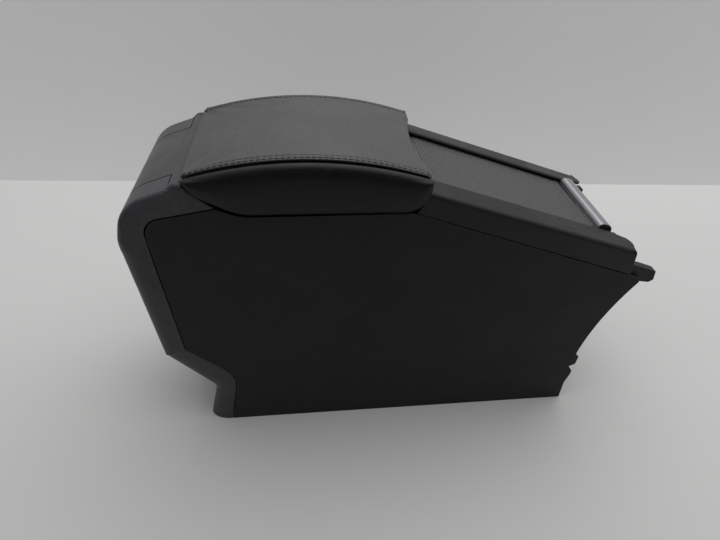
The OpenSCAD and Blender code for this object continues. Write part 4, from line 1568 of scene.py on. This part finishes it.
@dataclass
class Wing:
    """A padded wing beside the pad: a long cushion that hugs the lid's side."""

    palette: Palette
    side: int
    arch: Arch = Arch()
    inner_y: float = 80.3
    rim_top_y: float = 84.2
    rim_low_y: float = 86.4
    outer_y: float = 91.6
    seam_drop: float = 3.3
    rear_top_x: float = -205.5
    front_top_x: float = 16.8
    lower: tuple[Triple, ...] = (
        (-206.0, 321.0, 2.0), (-197.5, 308.5, 15.0), (-160.5, 287.4, 60.0), (12.6, 283.3, 24.0))
    cell: float = 4.0
    columns: int = 14
    rim: float = 20.0
    puff: float = 1.2
    held_in: float = 0.4
    rings: tuple[Pair, ...] = ((0.35, -0.4), (0.7, 2.2))
    inner_inset: float = 5.0
    tip_rows: int = 4
    seat: float = 2.0
    samples: int = 200
    corner_steps: int = 12

    def outline(self) -> tuple[list[Vector], list[Vector]]:
        """The wing's upper and lower lines, seen from the side.

        Returns:
            Two lines of equally many points, from the rear tip to the nose.
        """
        rear_x = self.rear_top_x
        top = [Vector((x, self.arch.height(x) - self.seam_drop)) for x in
               (rear_x + (self.front_top_x - rear_x) * k / self.samples for k in range(self.samples + 1))]
        corners = [(top[0].x, top[0].y)] + list(self.lower) + [(top[-1].x, top[-1].y)]
        low = [Vector(p) for p in rounded(corners, self.corner_steps, closed=False)]
        count = round((self.front_top_x - rear_x) / self.cell)
        return self.spaced(top, count), self.spaced(low, count)

    @staticmethod
    def spaced(line: Sequence[Vector], count: int) -> list[Vector]:
        """Points at equal distances along a line.

        Args:
            line: the line's points.
            count: how many steps it is given.

        Returns:
            The new points.
        """
        lengths = [0.0]
        for a, b in zip(line, line[1:]):
            lengths.append(lengths[-1] + (b - a).length)
        points = []
        for k in range(count + 1):
            target = lengths[-1] * k / count
            i = max(0, min(len(line) - 2, next((n for n, reached in enumerate(lengths) if reached >= target), 1) - 1))
            span = lengths[i + 1] - lengths[i]
            points.append(line[i].lerp(line[i + 1], (target - lengths[i]) / span if span > 0 else 0.0))
        return points

    def build(self) -> None:
        """Builds the wing and dresses it."""
        top, low = self.outline()
        rows = len(top) - 1
        border = top + low[::-1]

        def inset_of(p: Vector) -> float:
            """How far a point is from the outline."""
            best = 1e9
            for a, b in zip(border, border[1:]):
                ab = b - a
                share = max(0.0, min(1.0, (p - a).dot(ab) / max(ab.length_squared, 1e-9)))
                best = min(best, (p - a - ab * share).length)
            return best

        def flat(i: int, j: int) -> Vector:
            """A point's place seen from the side, closer together towards the edges."""
            return top[i].lerp(low[i], 0.5 - 0.5 * math.cos(math.pi * j / self.columns))

        def edge_y(j: int) -> float:
            """How far out the wing's rim lies."""
            return self.rim_top_y + (self.rim_low_y - self.rim_top_y) * min(1.0, 3 * j / self.columns)

        def drawn_in(i: int, j: int, inset: float) -> Vector:
            """A point of the outline's border drawn in by an inset, seen from the side."""
            p = flat(i, j)
            middle = flat(min(max(i, self.tip_rows), rows - self.tip_rows), self.columns // 2)
            return p + (middle - p).normalized() * inset

        def outer(i: int, j: int) -> Vector:
            """A point of the outer side."""
            p = flat(i, j)
            rise = min(1.0, inset_of(p) / self.rim)
            y = edge_y(j) + (self.outer_y - edge_y(j)) * math.sqrt(1 - (1 - rise) ** 2)
            return Vector((p.x, self.side * (y - self.held_in * self.puff), p.y))

        def ring(back: float, inset: float) -> Callable[[int, int], Vector]:
            """A ring of the wing's rounded edge, a share of the way from its rim to its flat side."""
            def place(i: int, j: int) -> Vector:
                """A point of the ring."""
                p = drawn_in(i, j, inset)
                y = edge_y(j) + (self.inner_y - edge_y(j)) * back
                return Vector((p.x, self.side * y, p.y))
            return place

        def inner(i: int, j: int) -> Vector:
            """A point of the flat inner side."""
            at_border = i in (0, rows) or j in (0, self.columns)
            p = drawn_in(i, j, self.inner_inset) if at_border else flat(i, j)
            return Vector((p.x, self.side * self.inner_y, p.y))

        hand = "left" if self.side > 0 else "right"
        walls = [ring(*each) for each in self.rings]
        piece, _ = closed_pillow(f"padded_wing_{hand}", rows, self.columns, outer, inner, walls)
        face_outwards(piece)
        pinned = [v.index for v in piece.data.vertices if abs(v.co.y) < (self.inner_y + self.seat) * MM]
        swell(piece, pinned, self.puff)
        apply_modifier(piece, "SUBSURF", levels=2, render_levels=2)
        smooth_all(piece)
        hand_over(piece, Finish.WING, Body.LID, self.palette, f"wing_{hand}")


@dataclass
class Studio:
    """The floor, the wall behind, the lights and the camera at the photograph's angle."""

    palette: Palette
    focal: float = 541.068
    width: float = 720.0
    sensor: float = 36.0
    place: Triple = (-91.862, -512.013, 546.618)
    ahead: Triple = (0.07806655, 0.7906299, -0.60729727)
    right: Triple = (0.99589573, -0.08982795, 0.01107444)
    over: Triple = (0.04579649, 0.6056693, 0.79439749)
    floor_colour: Colour = (0.6, 0.6, 0.595)
    wall_colour: Colour = (0.92, 0.925, 0.92)
    wall_y: float = 502.0
    wall_turn: float = 0.084
    wall_height: float = 0.8
    floor_size: float = 12.0
    floor_drop: float = 0.0002
    near_clip: float = 0.02
    reach: float = 3.0
    flag: tuple[float, float, float, float] = (1.6, -1.0, 0.15, 1.3)
    flag_colour: Colour = (0.03, 0.03, 0.03)
    softbox_size: Pair = (2.8, 2.8)
    softbox_power: float = 33.0
    softbox_place: Triple = (0.4, 0.5, 2.1)
    softbox_aim: Triple = (0.0, 0.0, 0.2)
    sky: float = 0.57

    def build(self) -> None:
        """Sets up the studio."""
        self.build_stage()
        self.build_lights()
        self.build_camera()

    def build_stage(self) -> None:
        """A plain floor, a wall behind the object and a dark flag behind the camera."""
        deselect()
        bpy.ops.mesh.primitive_plane_add(size=self.floor_size, location=(0, 0, -self.floor_drop))
        floor = bpy.context.object
        floor.name = "studio_floor"
        floor.data.materials.append(Backdrop("floor_paper", self.floor_colour).build(self.palette.effects))
        wall = self.card("studio_wall", [
            (x, self.wall_y * MM - self.wall_turn * x, z)
            for z in (0.0, self.wall_height) for x in (-self.reach, self.reach)])
        wall.data.materials.append(Backdrop("wall_paper", self.wall_colour, True).build(self.palette.effects))
        if wall.data.polygons[0].normal.y > 0:
            flip_faces(wall)
        reach, near, low, high = self.flag
        flag = self.card("studio_flag", [(x, near, z) for z in (low, high) for x in (-reach, reach)])
        flag.data.materials.append(Flag("studio_flag", self.flag_colour).build(self.palette.effects))

    @staticmethod
    def card(name: str, corners: Sequence[Triple]) -> bpy.types.Object:
        """Adds a flat card.

        Args:
            name: its name.
            corners: its four corners, in metres, the two lower ones first.

        Returns:
            The card.
        """
        deselect()
        bpy.ops.mesh.primitive_plane_add(size=1.0)
        card = bpy.context.object
        card.name = name
        for vertex, corner in zip(card.data.vertices, corners):
            vertex.co = Vector(corner)
        return card

    def lamp(self, name: str, size: Pair, power: float, place: Triple,
             aim: Triple) -> None:
        """Adds a softbox.

        Args:
            name: its name.
            size: its width and height, in metres.
            power: its power, in watts.
            place: where it hangs.
            aim: what it points at.
        """
        light = bpy.data.lights.new(name, "AREA")
        light.shape = "RECTANGLE"
        light.size, light.size_y = size
        light.energy = power
        lamp = bpy.data.objects.new(name, light)
        bpy.context.scene.collection.objects.link(lamp)
        lamp.location = place
        lamp.rotation_euler = (Vector(aim) - Vector(place)).to_track_quat("-Z", "Y").to_euler()

    def build_lights(self) -> None:
        """A large softbox overhead and a pale sky."""
        self.lamp("softbox_over", self.softbox_size, self.softbox_power, self.softbox_place, self.softbox_aim)
        world = bpy.data.worlds.new("studio")
        world.use_nodes = True
        background = world.node_tree.nodes["Background"]
        background.inputs[0].default_value = (1.0, 1.0, 1.0, 1.0)
        background.inputs[1].default_value = self.sky
        bpy.context.scene.world = world

    def build_camera(self) -> None:
        """The camera, where the photograph was taken from."""
        lens = bpy.data.cameras.new("camera")
        lens.sensor_fit = "HORIZONTAL"
        lens.sensor_width = self.sensor
        lens.lens = self.focal / self.width * self.sensor
        lens.clip_start = self.near_clip
        camera = bpy.data.objects.new("camera", lens)
        bpy.context.scene.collection.objects.link(camera)
        turn = Matrix((self.right, self.over, [-part for part in self.ahead])).transposed().to_4x4()
        camera.matrix_world = Matrix.Translation(Vector(self.place) * MM) @ turn
        bpy.context.scene.camera = camera


def main() -> None:
    """Builds the armrest and the studio."""
    palette = Palette()
    Studio(palette).build()
    Console(palette).build()
    LidFrame(palette).build()
    Shutter(palette).build()
    PaddedTop(palette).build()
    RearLip(palette).build()
    for side in (-1, 1):
        Wing(palette, side).build()
    bpy.context.scene.view_settings.view_transform = "Standard"
    deselect()


if __name__ == "__main__":
    main()
